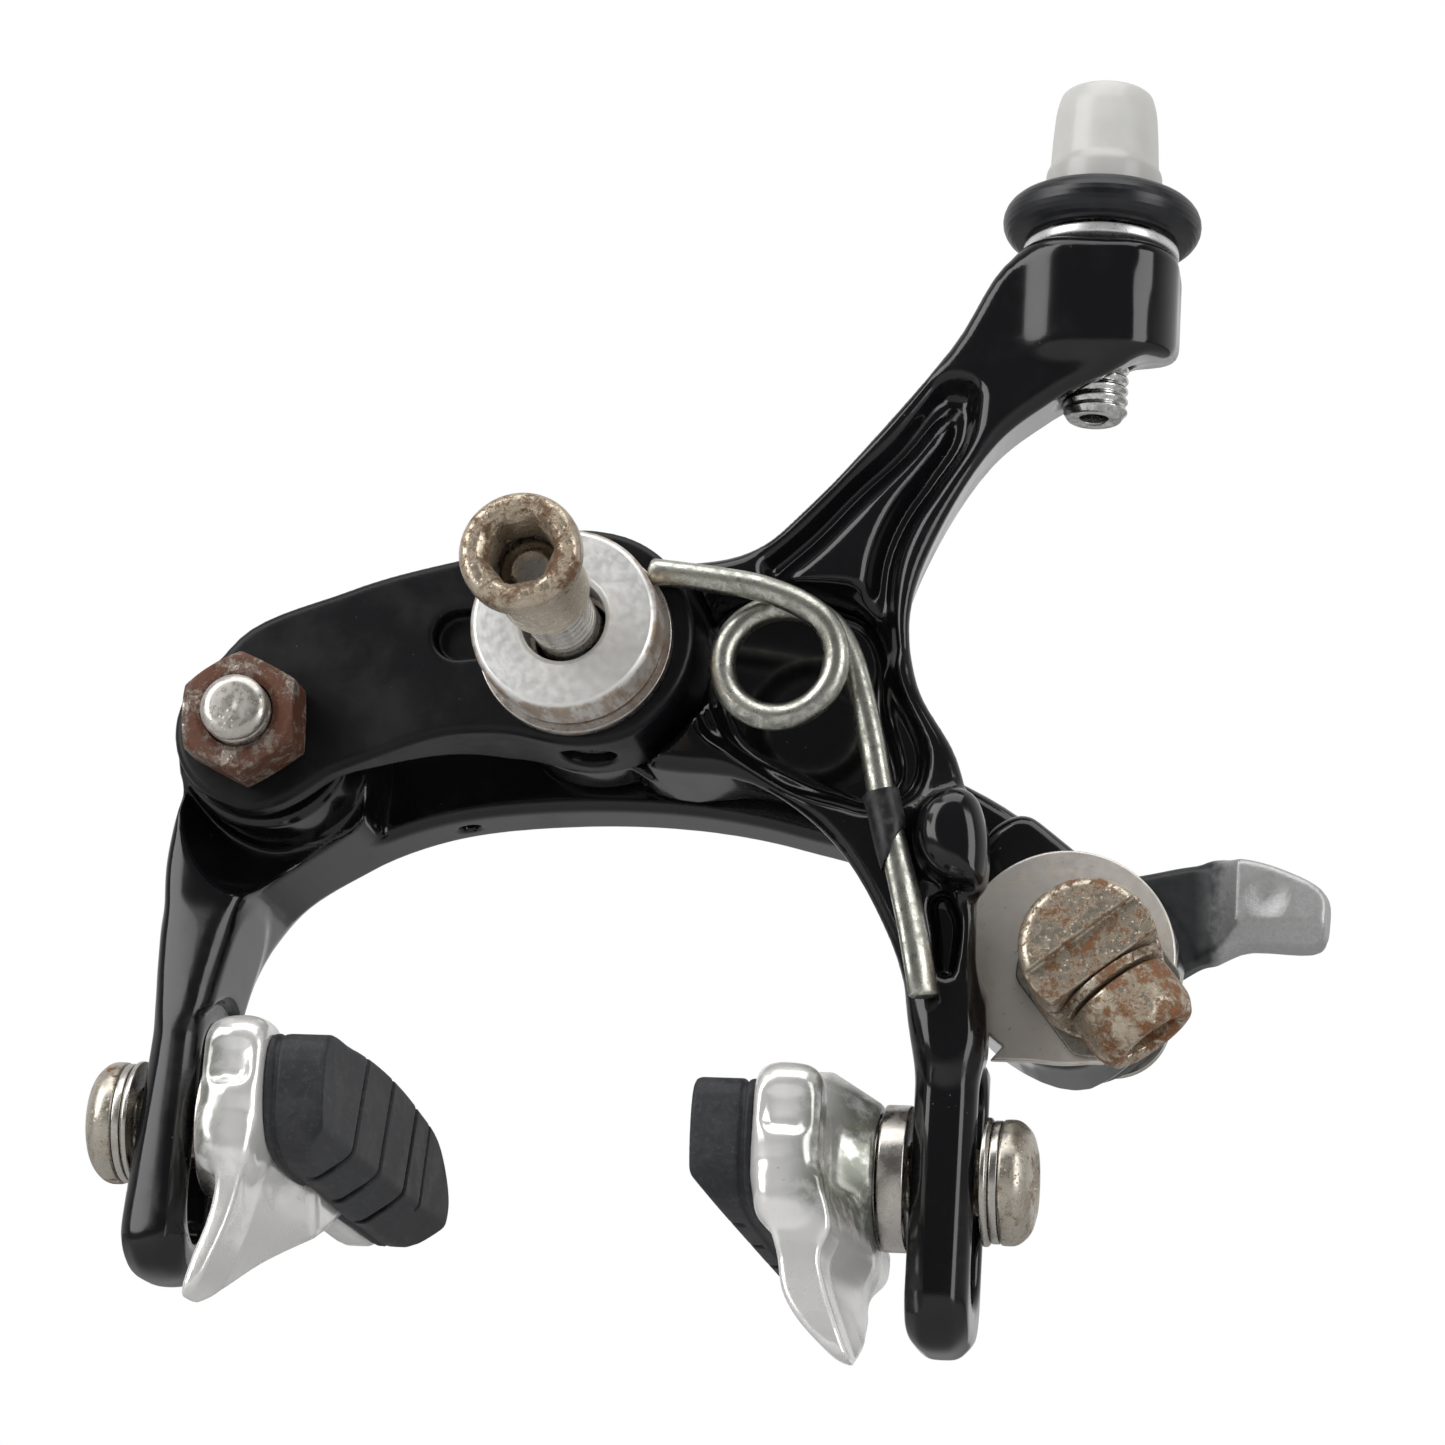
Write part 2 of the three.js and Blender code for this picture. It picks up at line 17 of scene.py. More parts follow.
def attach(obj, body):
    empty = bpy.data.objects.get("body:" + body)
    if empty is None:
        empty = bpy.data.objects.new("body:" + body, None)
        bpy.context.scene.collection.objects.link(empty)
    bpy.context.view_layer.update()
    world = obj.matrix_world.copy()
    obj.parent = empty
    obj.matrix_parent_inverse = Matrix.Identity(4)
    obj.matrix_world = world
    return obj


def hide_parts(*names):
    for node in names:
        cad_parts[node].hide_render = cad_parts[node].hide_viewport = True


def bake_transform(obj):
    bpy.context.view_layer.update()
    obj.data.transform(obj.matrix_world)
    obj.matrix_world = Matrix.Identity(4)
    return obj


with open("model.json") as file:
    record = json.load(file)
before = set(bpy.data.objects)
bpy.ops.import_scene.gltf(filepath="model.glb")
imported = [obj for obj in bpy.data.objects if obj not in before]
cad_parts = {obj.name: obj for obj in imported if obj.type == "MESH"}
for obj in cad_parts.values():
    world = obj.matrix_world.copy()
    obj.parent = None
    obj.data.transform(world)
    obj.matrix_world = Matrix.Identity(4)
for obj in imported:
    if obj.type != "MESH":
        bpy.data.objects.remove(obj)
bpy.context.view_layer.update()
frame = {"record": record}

MM = 0.001
# Axes along Y, as X and Z: centre bolt, side pivot, the lever's hub and the post in it
PIVOT = (0.0, 0.0)
SIDE = (-28.6, -8.6)
HUB = (43.3, -24.8)
POST = (46.3, -26.7)
# The adjuster's axis along Z, as X and Y, and the axis of the cable clamp's screw
BARREL = (43.9, 16.2)
CLAMP = np.array([0.6198, 0.0, -0.7848])
CLAMP_Y = 9.8
# Near and far faces of the arms in Y, and inner and outer faces of their legs in X
NEAR_A, FAR_A = 9.8, 22.4
FAR_B = 30.5
LEG_A = (31.3, 37.1)
LEG_B = (-31.9, -37.7)
# Middle and radius of the slots in the legs; then each shoe's side, leg and bolt's Z
SLOT_Y = 16.2
SLOT_RADIUS = 3.4
SHOES = {"right": (1, *LEG_A, -45.2), "left": (-1, *LEG_B, -42.6)}
PAD_BACK, PAD_FACE = 10.8, 16
# Radius of an M6 thread, and of the holes that it runs through
M6 = 2.98
BORE = 3.3
LATHE_FEED = 0.42


# ---- Flat outlines ----
def spline(points, steps=8, closed=True):
    """Centripetal Catmull-Rom curve through the points."""
    p = np.array(points, float)
    n = len(p)
    out = []
    for i in range(n if closed else n - 1):
        a, b, c, d = (p[k % n if closed else min(max(k, 0), n - 1)] for k in range(i - 1, i + 3))
        knots = [0.0]
        for s, e in ((a, b), (b, c), (c, d)):
            knots.append(knots[-1] + max(norm(e - s) ** 0.5, 1e-4))
        t0, t1, t2, t3 = knots
        for t in np.linspace(t1, t2, steps, endpoint=False):
            ab = (t1 - t) / (t1 - t0) * a + (t - t0) / (t1 - t0) * b
            bc = (t2 - t) / (t2 - t1) * b + (t - t1) / (t2 - t1) * c
            cd = (t3 - t) / (t3 - t2) * c + (t - t2) / (t3 - t2) * d
            abc = (t2 - t) / (t2 - t0) * ab + (t - t0) / (t2 - t0) * bc
            bcd = (t3 - t) / (t3 - t1) * bc + (t - t1) / (t3 - t1) * cd
            out.append((t2 - t) / (t2 - t1) * abc + (t - t1) / (t2 - t1) * bcd)
    if not closed:
        out.append(p[-1])
    return np.array(out)


# ---- Distance fields: negative inside ----
class Grid:
    """Sample points of a field, as three broadcastable arrays x, y and z."""

    def __init__(self, low, high, step):
        self.step = step
        self.low = np.array(low, float) - 3 * step
        count = np.ceil((np.array(high, float) - self.low) / step).astype(int) + 4
        self.axes = self.x, self.y, self.z = np.ix_(
            *[(self.low[i] + step * np.arange(count[i])).astype(np.float32) for i in range(3)])


def outline(u, v, points):
    """Signed distance to a closed polygon in the u, v plane."""
    u, v = np.broadcast_arrays(u, v)
    best = np.full(u.shape, 1e9, np.float32)
    inside = np.zeros(u.shape, bool)
    points = np.array(points, float)
    for (a, b), (c, d) in zip(points, np.roll(points, -1, 0)):
        e, f = c - a, d - b
        t = np.clip(((u - a) * e + (v - b) * f) / (e * e + f * f + 1e-12), 0, 1)
        best = np.minimum(best, (u - a - e * t) ** 2 + (v - b - f * t) ** 2)
        if b != d:
            inside ^= ((b > v) != (d > v)) & (u < e * (v - b) / f + a)
    return np.where(inside, -1, 1).astype(np.float32) * np.sqrt(best)


def curved(u, v, points, steps=8):
    """Signed distance to a smooth closed curve through the points."""
    return outline(u, v, spline(points, steps))


def circle(u, v, centre, radius):
    return np.hypot(u - centre[0], v - centre[1]) - radius


def bar(u, v, a, b, radius):
    """Round-ended bar between two points."""
    e, f = b[0] - a[0], b[1] - a[1]
    t = np.clip(((u - a[0]) * e + (v - a[1]) * f) / (e * e + f * f), 0, 1)
    return np.hypot(u - a[0] - e * t, v - a[1] - f * t) - radius


def chain(u, v, points, radius):
    """A line of round-ended bars."""
    return np.minimum.reduce([bar(u, v, a, b, radius) for a, b in zip(points, points[1:])])


def box(u, v, low, high, radius=0.0):
    """Rectangle with round corners."""
    return carve(slab(u, low[0], high[0]), slab(v, low[1], high[1]), radius)


def slab(w, low, high):
    return np.abs(w - (low + high) / 2) - (high - low) / 2


def carve(a, b, radius):
    """Where both fields are inside, with the edge between them rounded."""
    a, b = a + radius, b + radius
    return np.minimum(np.maximum(a, b), 0) + np.hypot(np.maximum(a, 0), np.maximum(b, 0)) - radius


def disc(grid, centre, radius, low, high, soft):
    """Round-edged disc from one Y to another, about a centre in X and Z."""
    return carve(circle(grid.x, grid.z, centre, radius), slab(grid.y, low, high), soft)


def bevel(a, b, width):
    """Where both fields are inside, with a soft flat bevel between them."""
    return both(np.maximum(a, b), (a + b + width) * 0.7071, 0.35)


def union(a, b, blend=0.6):
    h = np.maximum(blend - np.abs(a - b), 0) / blend
    return np.minimum(a, b) - h * h * blend / 4


def both(a, b, blend=0.6):
    return -union(-a, -b, blend)


def minus(a, b, blend=0.6):
    return -union(-a, b, blend)


def sample(volume, at):
    """Trilinear value of a volume at fractional indices."""
    at = np.clip(at, 0, np.array(volume.shape) - 1.001)
    base = at.astype(int)
    f = at - base
    total = np.zeros(len(at))
    for i, j, k in np.ndindex(2, 2, 2):
        weight = np.abs(1 - i - f[:, 0]) * np.abs(1 - j - f[:, 1]) * np.abs(1 - k - f[:, 2])
        total += weight * volume[base[:, 0] + i, base[:, 1] + j, base[:, 2] + k]
    return total


def slope(volume, at, reach=0.6):
    """Gradient of a volume at fractional indices."""
    differences = [sample(volume, at + d) - sample(volume, at - d) for d in np.eye(3) * reach]
    return np.stack(differences, 1) / (2 * reach)


# ---- Meshes ----
def add_object(mesh):
    """Links a smooth-shaded object; show() names it."""
    mesh.polygons.foreach_set("use_smooth", np.ones(len(mesh.polygons), bool))
    obj = bpy.data.objects.new("piece", mesh)
    bpy.context.scene.collection.objects.link(obj)
    return obj


def quad_object(points, quads, normals):
    """An object from points in millimetres, with its quads turned outward."""
    quads = np.array(quads, np.int32)
    a, b, c, d = (points[quads[:, k]] for k in range(4))
    if np.einsum("ij,ij->i", a, np.cross(b, c) + np.cross(c, d)).sum() < 0:
        quads = quads[:, ::-1]
    mesh = bpy.data.meshes.new("piece")
    mesh.vertices.add(len(points))
    mesh.vertices.foreach_set("co", (points * MM).astype(np.float32).ravel())
    mesh.loops.add(quads.size)
    mesh.loops.foreach_set("vertex_index", quads.ravel())
    mesh.polygons.add(len(quads))
    mesh.polygons.foreach_set("loop_start", np.arange(0, quads.size, 4, dtype=np.int32))
    mesh.update(calc_edges=True)
    mesh.validate()
    obj = add_object(mesh)
    mesh.normals_split_custom_set_from_vertices(normals.astype(np.float32))
    return obj


def skin(grid, field):
    """The surface where the field is zero."""
    shape = np.broadcast_shapes(*(axis.shape for axis in grid.axes))
    band = 4 * grid.step
    field = np.ascontiguousarray(np.clip(np.broadcast_to(field, shape), -band, band), np.float32)
    volume = openvdb.FloatGrid(band)
    volume.copyFromArray(field)
    points, quads = volume.convertToQuads(0.0)
    points = points.astype(float)
    for _ in range(2):
        g = slope(field, points)
        value = sample(field, points)
        points -= np.clip(value / np.maximum((g * g).sum(1), 1e-6), -0.5, 0.5)[:, None] * g
    g = slope(field, points)
    g /= np.maximum(norm(g, axis=1), 1e-9)[:, None]
    return quad_object(points * grid.step + grid.low, quads, g)


def filleted(profile, closed):
    """Rounds a profile of (radius, distance, fillet, kind) points; returns radii, distances and kinds."""
    p = [(*q, *(0.12, "round")[len(q) - 2:]) for q in profile]
    n = len(p)
    out = []
    for i, (r, s, fillet, kind) in enumerate(p):
        if not closed and i in (0, n - 1):
            out.append((r, s, kind))
            continue
        b = np.array([r, s])
        a, c = np.array(p[i - 1][:2]), np.array(p[(i + 1) % n][:2])
        la, lc = norm(a - b), norm(c - b)
        reach = min(fillet, 0.45 * la, 0.45 * lc)
        start, end = b + (a - b) / la * reach, b + (c - b) / lc * reach
        for t in np.linspace(0, 1, 5):
            q = (1 - t) ** 2 * start + 2 * t * (1 - t) * b + t * t * end
            out.append((*q, kind))
    dense = []
    for i in range(len(out) if closed else len(out) - 1):
        (r0, s0, kind), (r1, s1, _) = out[i], out[(i + 1) % len(out)]
        fine = 0.1 if kind == "thread" else 0.15 if kind == "nut" else 2.0
        steps = max(1, math.ceil(math.hypot(r1 - r0, s1 - s0) / fine))
        for k in range(steps):
            dense.append((r0 + (r1 - r0) * k / steps, s0 + (s1 - s0) * k / steps, kind))
    if not closed:
        dense.append(out[-1])
    return dense


def hexagon(theta, apothem, turn):
    a = np.mod(theta - turn, math.pi / 3) - math.pi / 6
    return apothem / np.cos(a)


def turned(profile, axis, origin, sides=96, across=0.0, turn=0.0, pitch=1.0):
    """Revolves a profile, which is a closed loop unless it starts on the axis.

    Kinds of point: round, nut (cut by a hexagon that measures across), socket (hexagonal) and thread.
    """
    closed = profile[0][0] > 0
    axis = np.array(axis, float)
    side = np.cross(axis, (0, 0, 1.0) if abs(axis[2]) < 0.9 else (1.0, 0, 0))
    side /= norm(side)
    up = np.cross(axis, side)
    theta = np.arange(sides) / sides * 2 * math.pi
    rings, points = [], []
    for r, s, kind in filleted(profile, closed):
        if r < 1e-6:
            rings.append([len(points)])
            points.append(np.array(origin) + axis * s)
            continue
        radius = np.full(sides, float(r))
        if kind == "nut":
            radius = np.minimum(radius, hexagon(theta, across / 2, turn))
        elif kind == "socket":
            radius = hexagon(theta, r, turn)
        elif kind == "thread":
            phase = np.mod(s / pitch - theta / (2 * math.pi), 1.0)
            radius = radius - 0.5 * pitch * np.clip(np.abs(phase - 0.5) * 1.5 - 0.12, 0, 0.55)
        rings.append(list(range(len(points), len(points) + sides)))
        spoke = np.outer(np.cos(theta), side) + np.outer(np.sin(theta), up)
        points.extend(np.array(origin) + axis * s + spoke * radius[:, None])
    faces = []
    pairs = list(zip(rings, rings[1:])) + ([(rings[-1], rings[0])] if closed else [])
    for a, b in pairs:
        for k in range(sides):
            m = (k + 1) % sides
            if len(a) == 1:
                faces.append((a[0], b[k], b[m], b[m]))
            elif len(b) == 1:
                faces.append((a[k], a[m], b[0], b[0]))
            else:
                faces.append((a[k], a[m], b[m], b[k]))
    obj = poly_object(np.array(points), faces)
    obj.data.set_sharp_from_angle(angle=math.radians(38))
    return obj


def poly_object(points, faces):
    """An object from mixed faces; a repeated last corner marks a triangle."""
    faces = [f[:3] if f[2] == f[3] else f for f in faces]
    volume = sum(np.dot(points[f[0]], np.cross(points[f[k]], points[f[k + 1]]))
                 for f in faces for k in range(1, len(f) - 1))
    if volume < 0:
        faces = [f[::-1] for f in faces]
    mesh = bpy.data.meshes.new("piece")
    mesh.from_pydata((points * MM).tolist(), [], faces)
    return add_object(mesh)


def wire(path, radius, flat, sides=24):
    """A round wire along a path, with softly rounded ends; flat(t) says how far it is pressed."""
    path = np.array(path, float)
    tangent = np.gradient(path, axis=0)
    tangent /= norm(tangent, axis=1)[:, None]
    side = np.cross(tangent[0], (0, 1.0, 0))
    side /= norm(side)
    theta = np.arange(sides) / sides * 2 * math.pi
    points, faces = [path[0]], []
    ends = [(0.55, 0.0), (0.85, 0.12), (1.0, 0.35)]
    steps = [(0, k, d) for k, d in ends] + [(i, 1.0, 0.0) for i in range(4, len(path) - 4)]
    steps += [(-1, k, -d) for k, d in reversed(ends)]
    last = 0
    for i, scale, shift in steps:
        side = side - tangent[i] * np.dot(side, tangent[i])
        side /= norm(side)
        up = np.cross(tangent[i], side)
        press = flat((i % len(path)) / len(path))
        wide, thin = radius * scale * (1 + 0.2 * press), radius * scale * (1 - 0.2 * press)
        middle = path[i] + tangent[i] * shift
        ring = middle + np.outer(np.cos(theta) * wide, side) + np.outer(np.sin(theta) * thin, up)
        start = len(points)
        points.extend(ring)
        for k in range(sides):
            m = (k + 1) % sides
            if last == 0:
                faces.append((0, start + k, start + m, start + m))
            else:
                faces.append((last + k, last + m, start + m, start + k))
        last = start
    points.append(path[-1])
    end = len(points) - 1
    faces += [(last + k, last + (k + 1) % sides, end, end) for k in range(sides)]
    obj = poly_object(np.array(points), faces)
    obj.data.set_sharp_from_angle(angle=math.radians(50))
    return obj


# ---- Materials ----
class Nodes:
    """Helpers that add nodes to a tree and hand back their output sockets."""

    def __init__(self, tree, coordinates):
        self.tree = tree
        self.place = tree.nodes.new("ShaderNodeTexCoord").outputs[coordinates]

    def feed(self, socket, value):
        """Links a socket to another socket, or gives it a value."""
        if isinstance(value, bpy.types.NodeSocket):
            self.tree.links.new(value, socket)
        else:
            socket.default_value = value

    def add(self, kind, inputs, **settings):
        node = self.tree.nodes.new(kind)
        for key, value in settings.items():
            setattr(node, key, value)
        for key, value in inputs.items():
            self.feed(node.inputs[key], value)
        return node

    def stretched(self, scale):
        return self.add("ShaderNodeMapping", {"Vector": self.place, "Scale": scale}).outputs[0]

    def noise(self, size, detail, rough=0.55, place=None, distort=0.0):
        """Noise with features about size millimetres across, from 0 to 1."""
        return self.add("ShaderNodeTexNoise", {
            "Vector": place or self.place, "Scale": 1.0 / (size * MM), "Detail": detail,
            "Roughness": rough, "Distortion": distort}).outputs["Fac"]

    def cells(self, size):
        """Distance from the middle of scattered cells about size millimetres across."""
        return self.add("ShaderNodeTexVoronoi", {
            "Vector": self.place, "Scale": 1.0 / (size * MM)}).outputs["Distance"]

    def ramp(self, value, low, high, to_low=0.0, to_high=1.0):
        return self.add("ShaderNodeMapRange", {
            "Value": value, "From Min": low, "From Max": high, "To Min": to_low, "To Max": to_high},
            interpolation_type="SMOOTHSTEP").outputs["Result"]

    def patches(self, size, detail, *levels):
        """Noise ramped between two levels, which leaves soft-edged patches."""
        return self.ramp(self.noise(size, detail), *levels)

    def math(self, operation, a, b=0.0):
        return self.add("ShaderNodeMath", {0: a, 1: b}, operation=operation).outputs[0]

    def times(self, a, b):
        return self.math("MULTIPLY", a, b)

    def plus(self, a, b):
        return self.math("ADD", a, b)

    def mix(self, fac, a, b):
        """Mixes two colours, each a triple or a socket."""
        a, b = ((*c, 1.0) if isinstance(c, tuple) else c for c in (a, b))
        return self.add("ShaderNodeMix", {0: fac, 6: a, 7: b}, data_type="RGBA").outputs[2]

    def blend(self, fac, a, b):
        """Mixes two numbers."""
        return self.add("ShaderNodeMix", {0: fac, 2: a, 3: b}).outputs[0]

    def along(self, name):
        """The coordinate X, Y or Z, in metres."""
        return self.add("ShaderNodeSeparateXYZ", {"Vector": self.place}).outputs[name]

    def across(self, axis):
        """Distance in metres from a line along X, Y or Z, given with its two offsets in millimetres."""
        names = [k for k in "XYZ" if k != axis[0]]
        u, v = (self.plus(self.along(k), -offset * MM) for k, offset in zip(names, axis[1:]))
        return self.math("POWER", self.plus(self.times(u, u), self.times(v, v)), 0.5)


class Look(Nodes):
    """A procedural material on the object's own coordinates."""

    def __init__(self, name, colour, roughness, metallic=0.0, **shader):
        self.material = bpy.data.materials.new(name)
        self.material.use_nodes = True
        super().__init__(self.material.node_tree, "Object")
        self.shader = self.tree.nodes["Principled BSDF"]
        self.paint((*colour, 1.0), roughness)
        self.set("Metallic", metallic)
        for socket, value in shader.items():
            self.set(socket.replace("_", " "), value)

    def set(self, socket, value):
        self.feed(self.shader.inputs[socket], value)

    def paint(self, colour, roughness):
        self.set("Base Color", colour)
        self.set("Roughness", roughness)

    def bump(self, height, depth):
        """Bump whose full height is depth millimetres, on top of any bump so far."""
        node = self.add("ShaderNodeBump", {"Height": height, "Strength": 1.0, "Distance": depth * MM})
        last = self.shader.inputs["Normal"].links
        if last:
            self.tree.links.new(last[0].from_socket, node.inputs["Normal"])
        self.set("Normal", node.outputs["Normal"])

    def grain(self, depth, *noise):
        """Bump from noise, given by its depth and then the noise's size and settings."""
        self.bump(self.noise(*noise), depth)


def tinted(colour, factor):
    return tuple(min(factor * c, 0.95) for c in colour)


def gloss_black():
    m = Look("gloss_black_paint", (0.006, 0.006, 0.007), 0.12, Coat_Weight=0.25, Coat_Roughness=0.06,
             Specular_IOR_Level=0.4)
    haze = m.ramp(m.noise(9.0, 5.0, 0.6), 0.48, 0.72)
    grit = m.times(m.ramp(m.cells(1.1), 0.10, 0.02), m.patches(3.5, 4.0, 0.55, 0.62))
    tint = m.mix(haze, (0.005, 0.005, 0.006), (0.012, 0.0122, 0.0135))
    m.paint(m.mix(m.times(grit, 0.5), tint, (0.22, 0.21, 0.2)), m.blend(haze, 0.13, 0.3))
    m.grain(0.006, 1.6, 2.0)
    m.grain(0.0012, 0.35, 2.0)
    return m.material


def satin_black():
    m = Look("satin_black_paint", (0.008, 0.008, 0.01), 0.36, Specular_IOR_Level=0.25)
    haze = m.ramp(m.noise(7.0, 5.0, 0.65), 0.4, 0.7)
    grit = m.times(m.ramp(m.cells(0.9), 0.09, 0.02), m.patches(3.0, 4.0, 0.5, 0.6))
    scratch = m.ramp(m.noise(0.5, 3.0, place=m.stretched((1.0, 1.0, 9.0))), 0.66, 0.78)
    tint = m.mix(haze, (0.0055, 0.0056, 0.0068), (0.010, 0.0102, 0.0115))
    marked = m.mix(m.times(scratch, 0.2), tint, (0.05, 0.05, 0.053))
    m.paint(m.mix(m.times(grit, 0.5), marked, (0.2, 0.19, 0.18)), m.blend(haze, 0.3, 0.42))
    m.grain(0.01, 0.5, 4.0)
    m.grain(0.003, 0.14, 2.0)
    return m.material


def turned_metal(name, colour, dirt, roughness, axis, stain, pits=0.3, metallic=1.0, wall=None):
    """Bare metal with lathe lines round an axis and patchy stains.

    wall is the radius, in metres, past which it is dirtier.
    """
    m = Look(name, colour, roughness, metallic)
    radius = m.across(axis)
    line = m.math("SINE", m.times(radius, 2 * math.pi / (LATHE_FEED * MM)))
    patch = m.ramp(m.noise(2.6, 6.0, 0.65, distort=0.6), 0.56 - 0.1 * stain, 0.74)
    speck = m.times(m.patches(0.35, 4.0, 0.6, 0.7), m.patches(1.8, 4.0, 0.45, 0.65))
    clean = m.mix(m.noise(1.2, 4.0), tinted(colour, 0.86), colour)
    grime = m.times(m.plus(patch, m.times(speck, pits)), stain)
    if wall:
        streak = m.ramp(m.noise(1.5, 6.0, 0.7, place=m.stretched((1.0, 0.25, 1.0))), 0.36, 0.62)
        on_wall = m.ramp(radius, wall - 0.0002, wall)
        grime = m.plus(grime, m.times(on_wall, m.ramp(streak, 0.0, 1.0, 0.25, 0.9)))
    smooth = m.patches(0.8, 4.0, 0.3, 0.7, roughness * 0.8, roughness * 1.2)
    m.paint(m.mix(grime, clean, dirt), m.blend(patch, smooth, roughness + 0.2))
    m.bump(m.times(line, 0.5), 0.0016)
    m.bump(m.times(speck, -pits), 0.01)
    m.grain(0.001, 0.25, 2.0)
    return m.material


def plain_steel(name, centre, stain):
    return turned_metal(name, (0.6, 0.58, 0.54), (0.25, 0.16, 0.1), 0.3, ("Y", *centre), stain)


def polished_aluminium():
    m = Look("polished_aluminium", (0.9, 0.885, 0.86), 0.24, 0.5)
    smear = m.ramp(m.noise(5.0, 6.0, 0.6, distort=0.8), 0.42, 0.72)
    line = m.noise(0.22, 3.0, place=m.stretched((1.0, 0.12, 1.0)))
    nick = m.times(m.patches(0.4, 3.0, 0.64, 0.72), m.patches(2.2, 4.0, 0.5, 0.62))
    clean = m.mix(smear, (0.93, 0.92, 0.9), (0.8, 0.79, 0.765))
    # Painted dark reflection on the boss cone, beside the washer
    painted_boss_reflection = m.times(m.ramp(m.math("ABSOLUTE", m.along("X")), 0.0228, 0.0268),
                     m.ramp(m.along("Z"), -0.0535, -0.0505))
    painted_boss_reflection = m.times(painted_boss_reflection, m.ramp(m.noise(2.4, 5.0, 0.65), 0.34, 0.56, 0.35, 0.95))
    clean = m.mix(painted_boss_reflection, clean, (0.16, 0.17, 0.135))
    m.paint(m.mix(m.times(nick, 0.6), clean, (0.33, 0.32, 0.29)), m.blend(smear, 0.18, 0.32))
    m.grain(0.006, 3.5, 2.0)
    m.bump(line, 0.0012)
    m.bump(m.times(nick, -1.0), 0.006)
    return m.material


def zinc_plate(name, colour, roughness, grime):
    m = Look(name, colour, roughness, 1.0)
    blotch = m.ramp(m.noise(1.1, 7.0, 0.75, distort=0.5), 0.35, 0.65)
    dark = m.times(m.ramp(m.noise(0.5, 6.0, 0.75), 0.5, 0.66), m.patches(3.0, 4.0, 0.3, 0.65))
    clean = m.mix(blotch, tinted(colour, 0.62), tinted(colour, 1.25))
    m.paint(m.mix(m.times(dark, grime), clean, (0.13, 0.11, 0.08)),
            m.blend(blotch, roughness + 0.12, roughness - 0.08))
    m.grain(0.012, 0.9, 4.0)
    m.grain(0.007, 0.22, 4.0, 0.7)
    return m.material


def rusty_steel(name, amount, steel=(0.5, 0.46, 0.4), rust=(0.2, 0.078, 0.032), size=1.6, end=None):
    """Plated steel that rust has broken through: amount is from 0, bright, to 1, all rust.

    end gives two Y values in metres, between which the rust fades out.
    """
    m = Look(name, steel, 0.35, 0.9)
    field = m.plus(m.times(m.noise(size, 10.0, 0.8, distort=0.3), 0.6),
                   m.times(m.noise(size * 3.5, 4.0), 0.4))
    low = 0.66 - 0.32 * amount
    cover = m.ramp(field, low, low + 0.09)
    edge = m.ramp(field, low - 0.09, low + 0.02)
    if end:
        fade = m.ramp(m.along("Y"), *end, 1.0, 0.12)
        cover, edge = m.times(cover, fade), m.times(edge, fade)
    pitted = m.ramp(m.cells(0.5), 0.3, 0.05)
    pale = (rust[0] * 1.5, rust[1] * 1.55, rust[2] * 1.5)
    shade = m.mix(m.noise(0.45, 6.0, 0.75), tinted(rust, 0.45), pale)
    stain = m.mix(m.times(edge, 0.6), steel, (0.26, 0.17, 0.095))
    bright = m.mix(m.noise(0.9, 5.0), tinted(steel, 0.7), steel)
    base = m.mix(m.times(edge, 0.7), bright, stain)
    m.paint(m.mix(cover, base, shade),
            m.blend(cover, m.patches(0.6, 4.0, 0.3, 0.7, 0.22, 0.4), 0.56))
    m.set("Metallic", m.blend(cover, 0.8, 0.3))
    m.bump(m.plus(m.times(cover, 0.6), m.times(m.noise(0.35, 6.0, 0.7), cover)), 0.05)
    m.bump(m.times(m.times(pitted, m.ramp(field, low - 0.15, low)), -1.0), 0.03)
    m.grain(0.004, 0.15, 3.0)
    return m.material


def moulded_rubber():
    m = Look("brake_rubber", (0.03, 0.031, 0.034), 0.62, Specular_IOR_Level=0.35)
    bloom = m.ramp(m.noise(4.5, 6.0, 0.65, distort=0.4), 0.38, 0.68)
    dust = m.times(m.patches(0.3, 4.0, 0.58, 0.7), m.patches(2.4, 4.0, 0.4, 0.65))
    rub = m.ramp(m.noise(0.5, 4.0, place=m.stretched((1.0, 0.2, 1.0))), 0.52, 0.7)
    tone = m.mix(bloom, (0.021, 0.022, 0.025), (0.047, 0.048, 0.052))
    worn = m.mix(m.times(rub, 0.35), tone, (0.075, 0.075, 0.078))
    m.paint(m.mix(m.times(dust, 0.4), worn, (0.13, 0.12, 0.105)), m.blend(bloom, 0.55, 0.74))
    m.grain(0.02, 0.8, 4.0)
    m.grain(0.008, 0.16, 3.0)
    return m.material


def o_ring_rubber():
    m = Look("o_ring_rubber", (0.007, 0.0075, 0.0095), 0.34)
    wipe = m.ramp(m.noise(2.8, 5.0, 0.6), 0.4, 0.7)
    m.paint(m.mix(wipe, (0.006, 0.0066, 0.0085), (0.014, 0.0146, 0.0175)), m.blend(wipe, 0.28, 0.42))
    m.grain(0.006, 0.4, 3.0)
    return m.material


def black_plastic():
    m = Look("black_plastic", (0.012, 0.012, 0.013), 0.45)
    scuff = m.ramp(m.noise(0.9, 5.0, 0.6), 0.45, 0.7)
    m.paint(m.mix(scuff, (0.009, 0.009, 0.010), (0.035, 0.035, 0.036)), m.blend(scuff, 0.38, 0.6))
    m.grain(0.01, 0.3, 3.0)
    return m.material


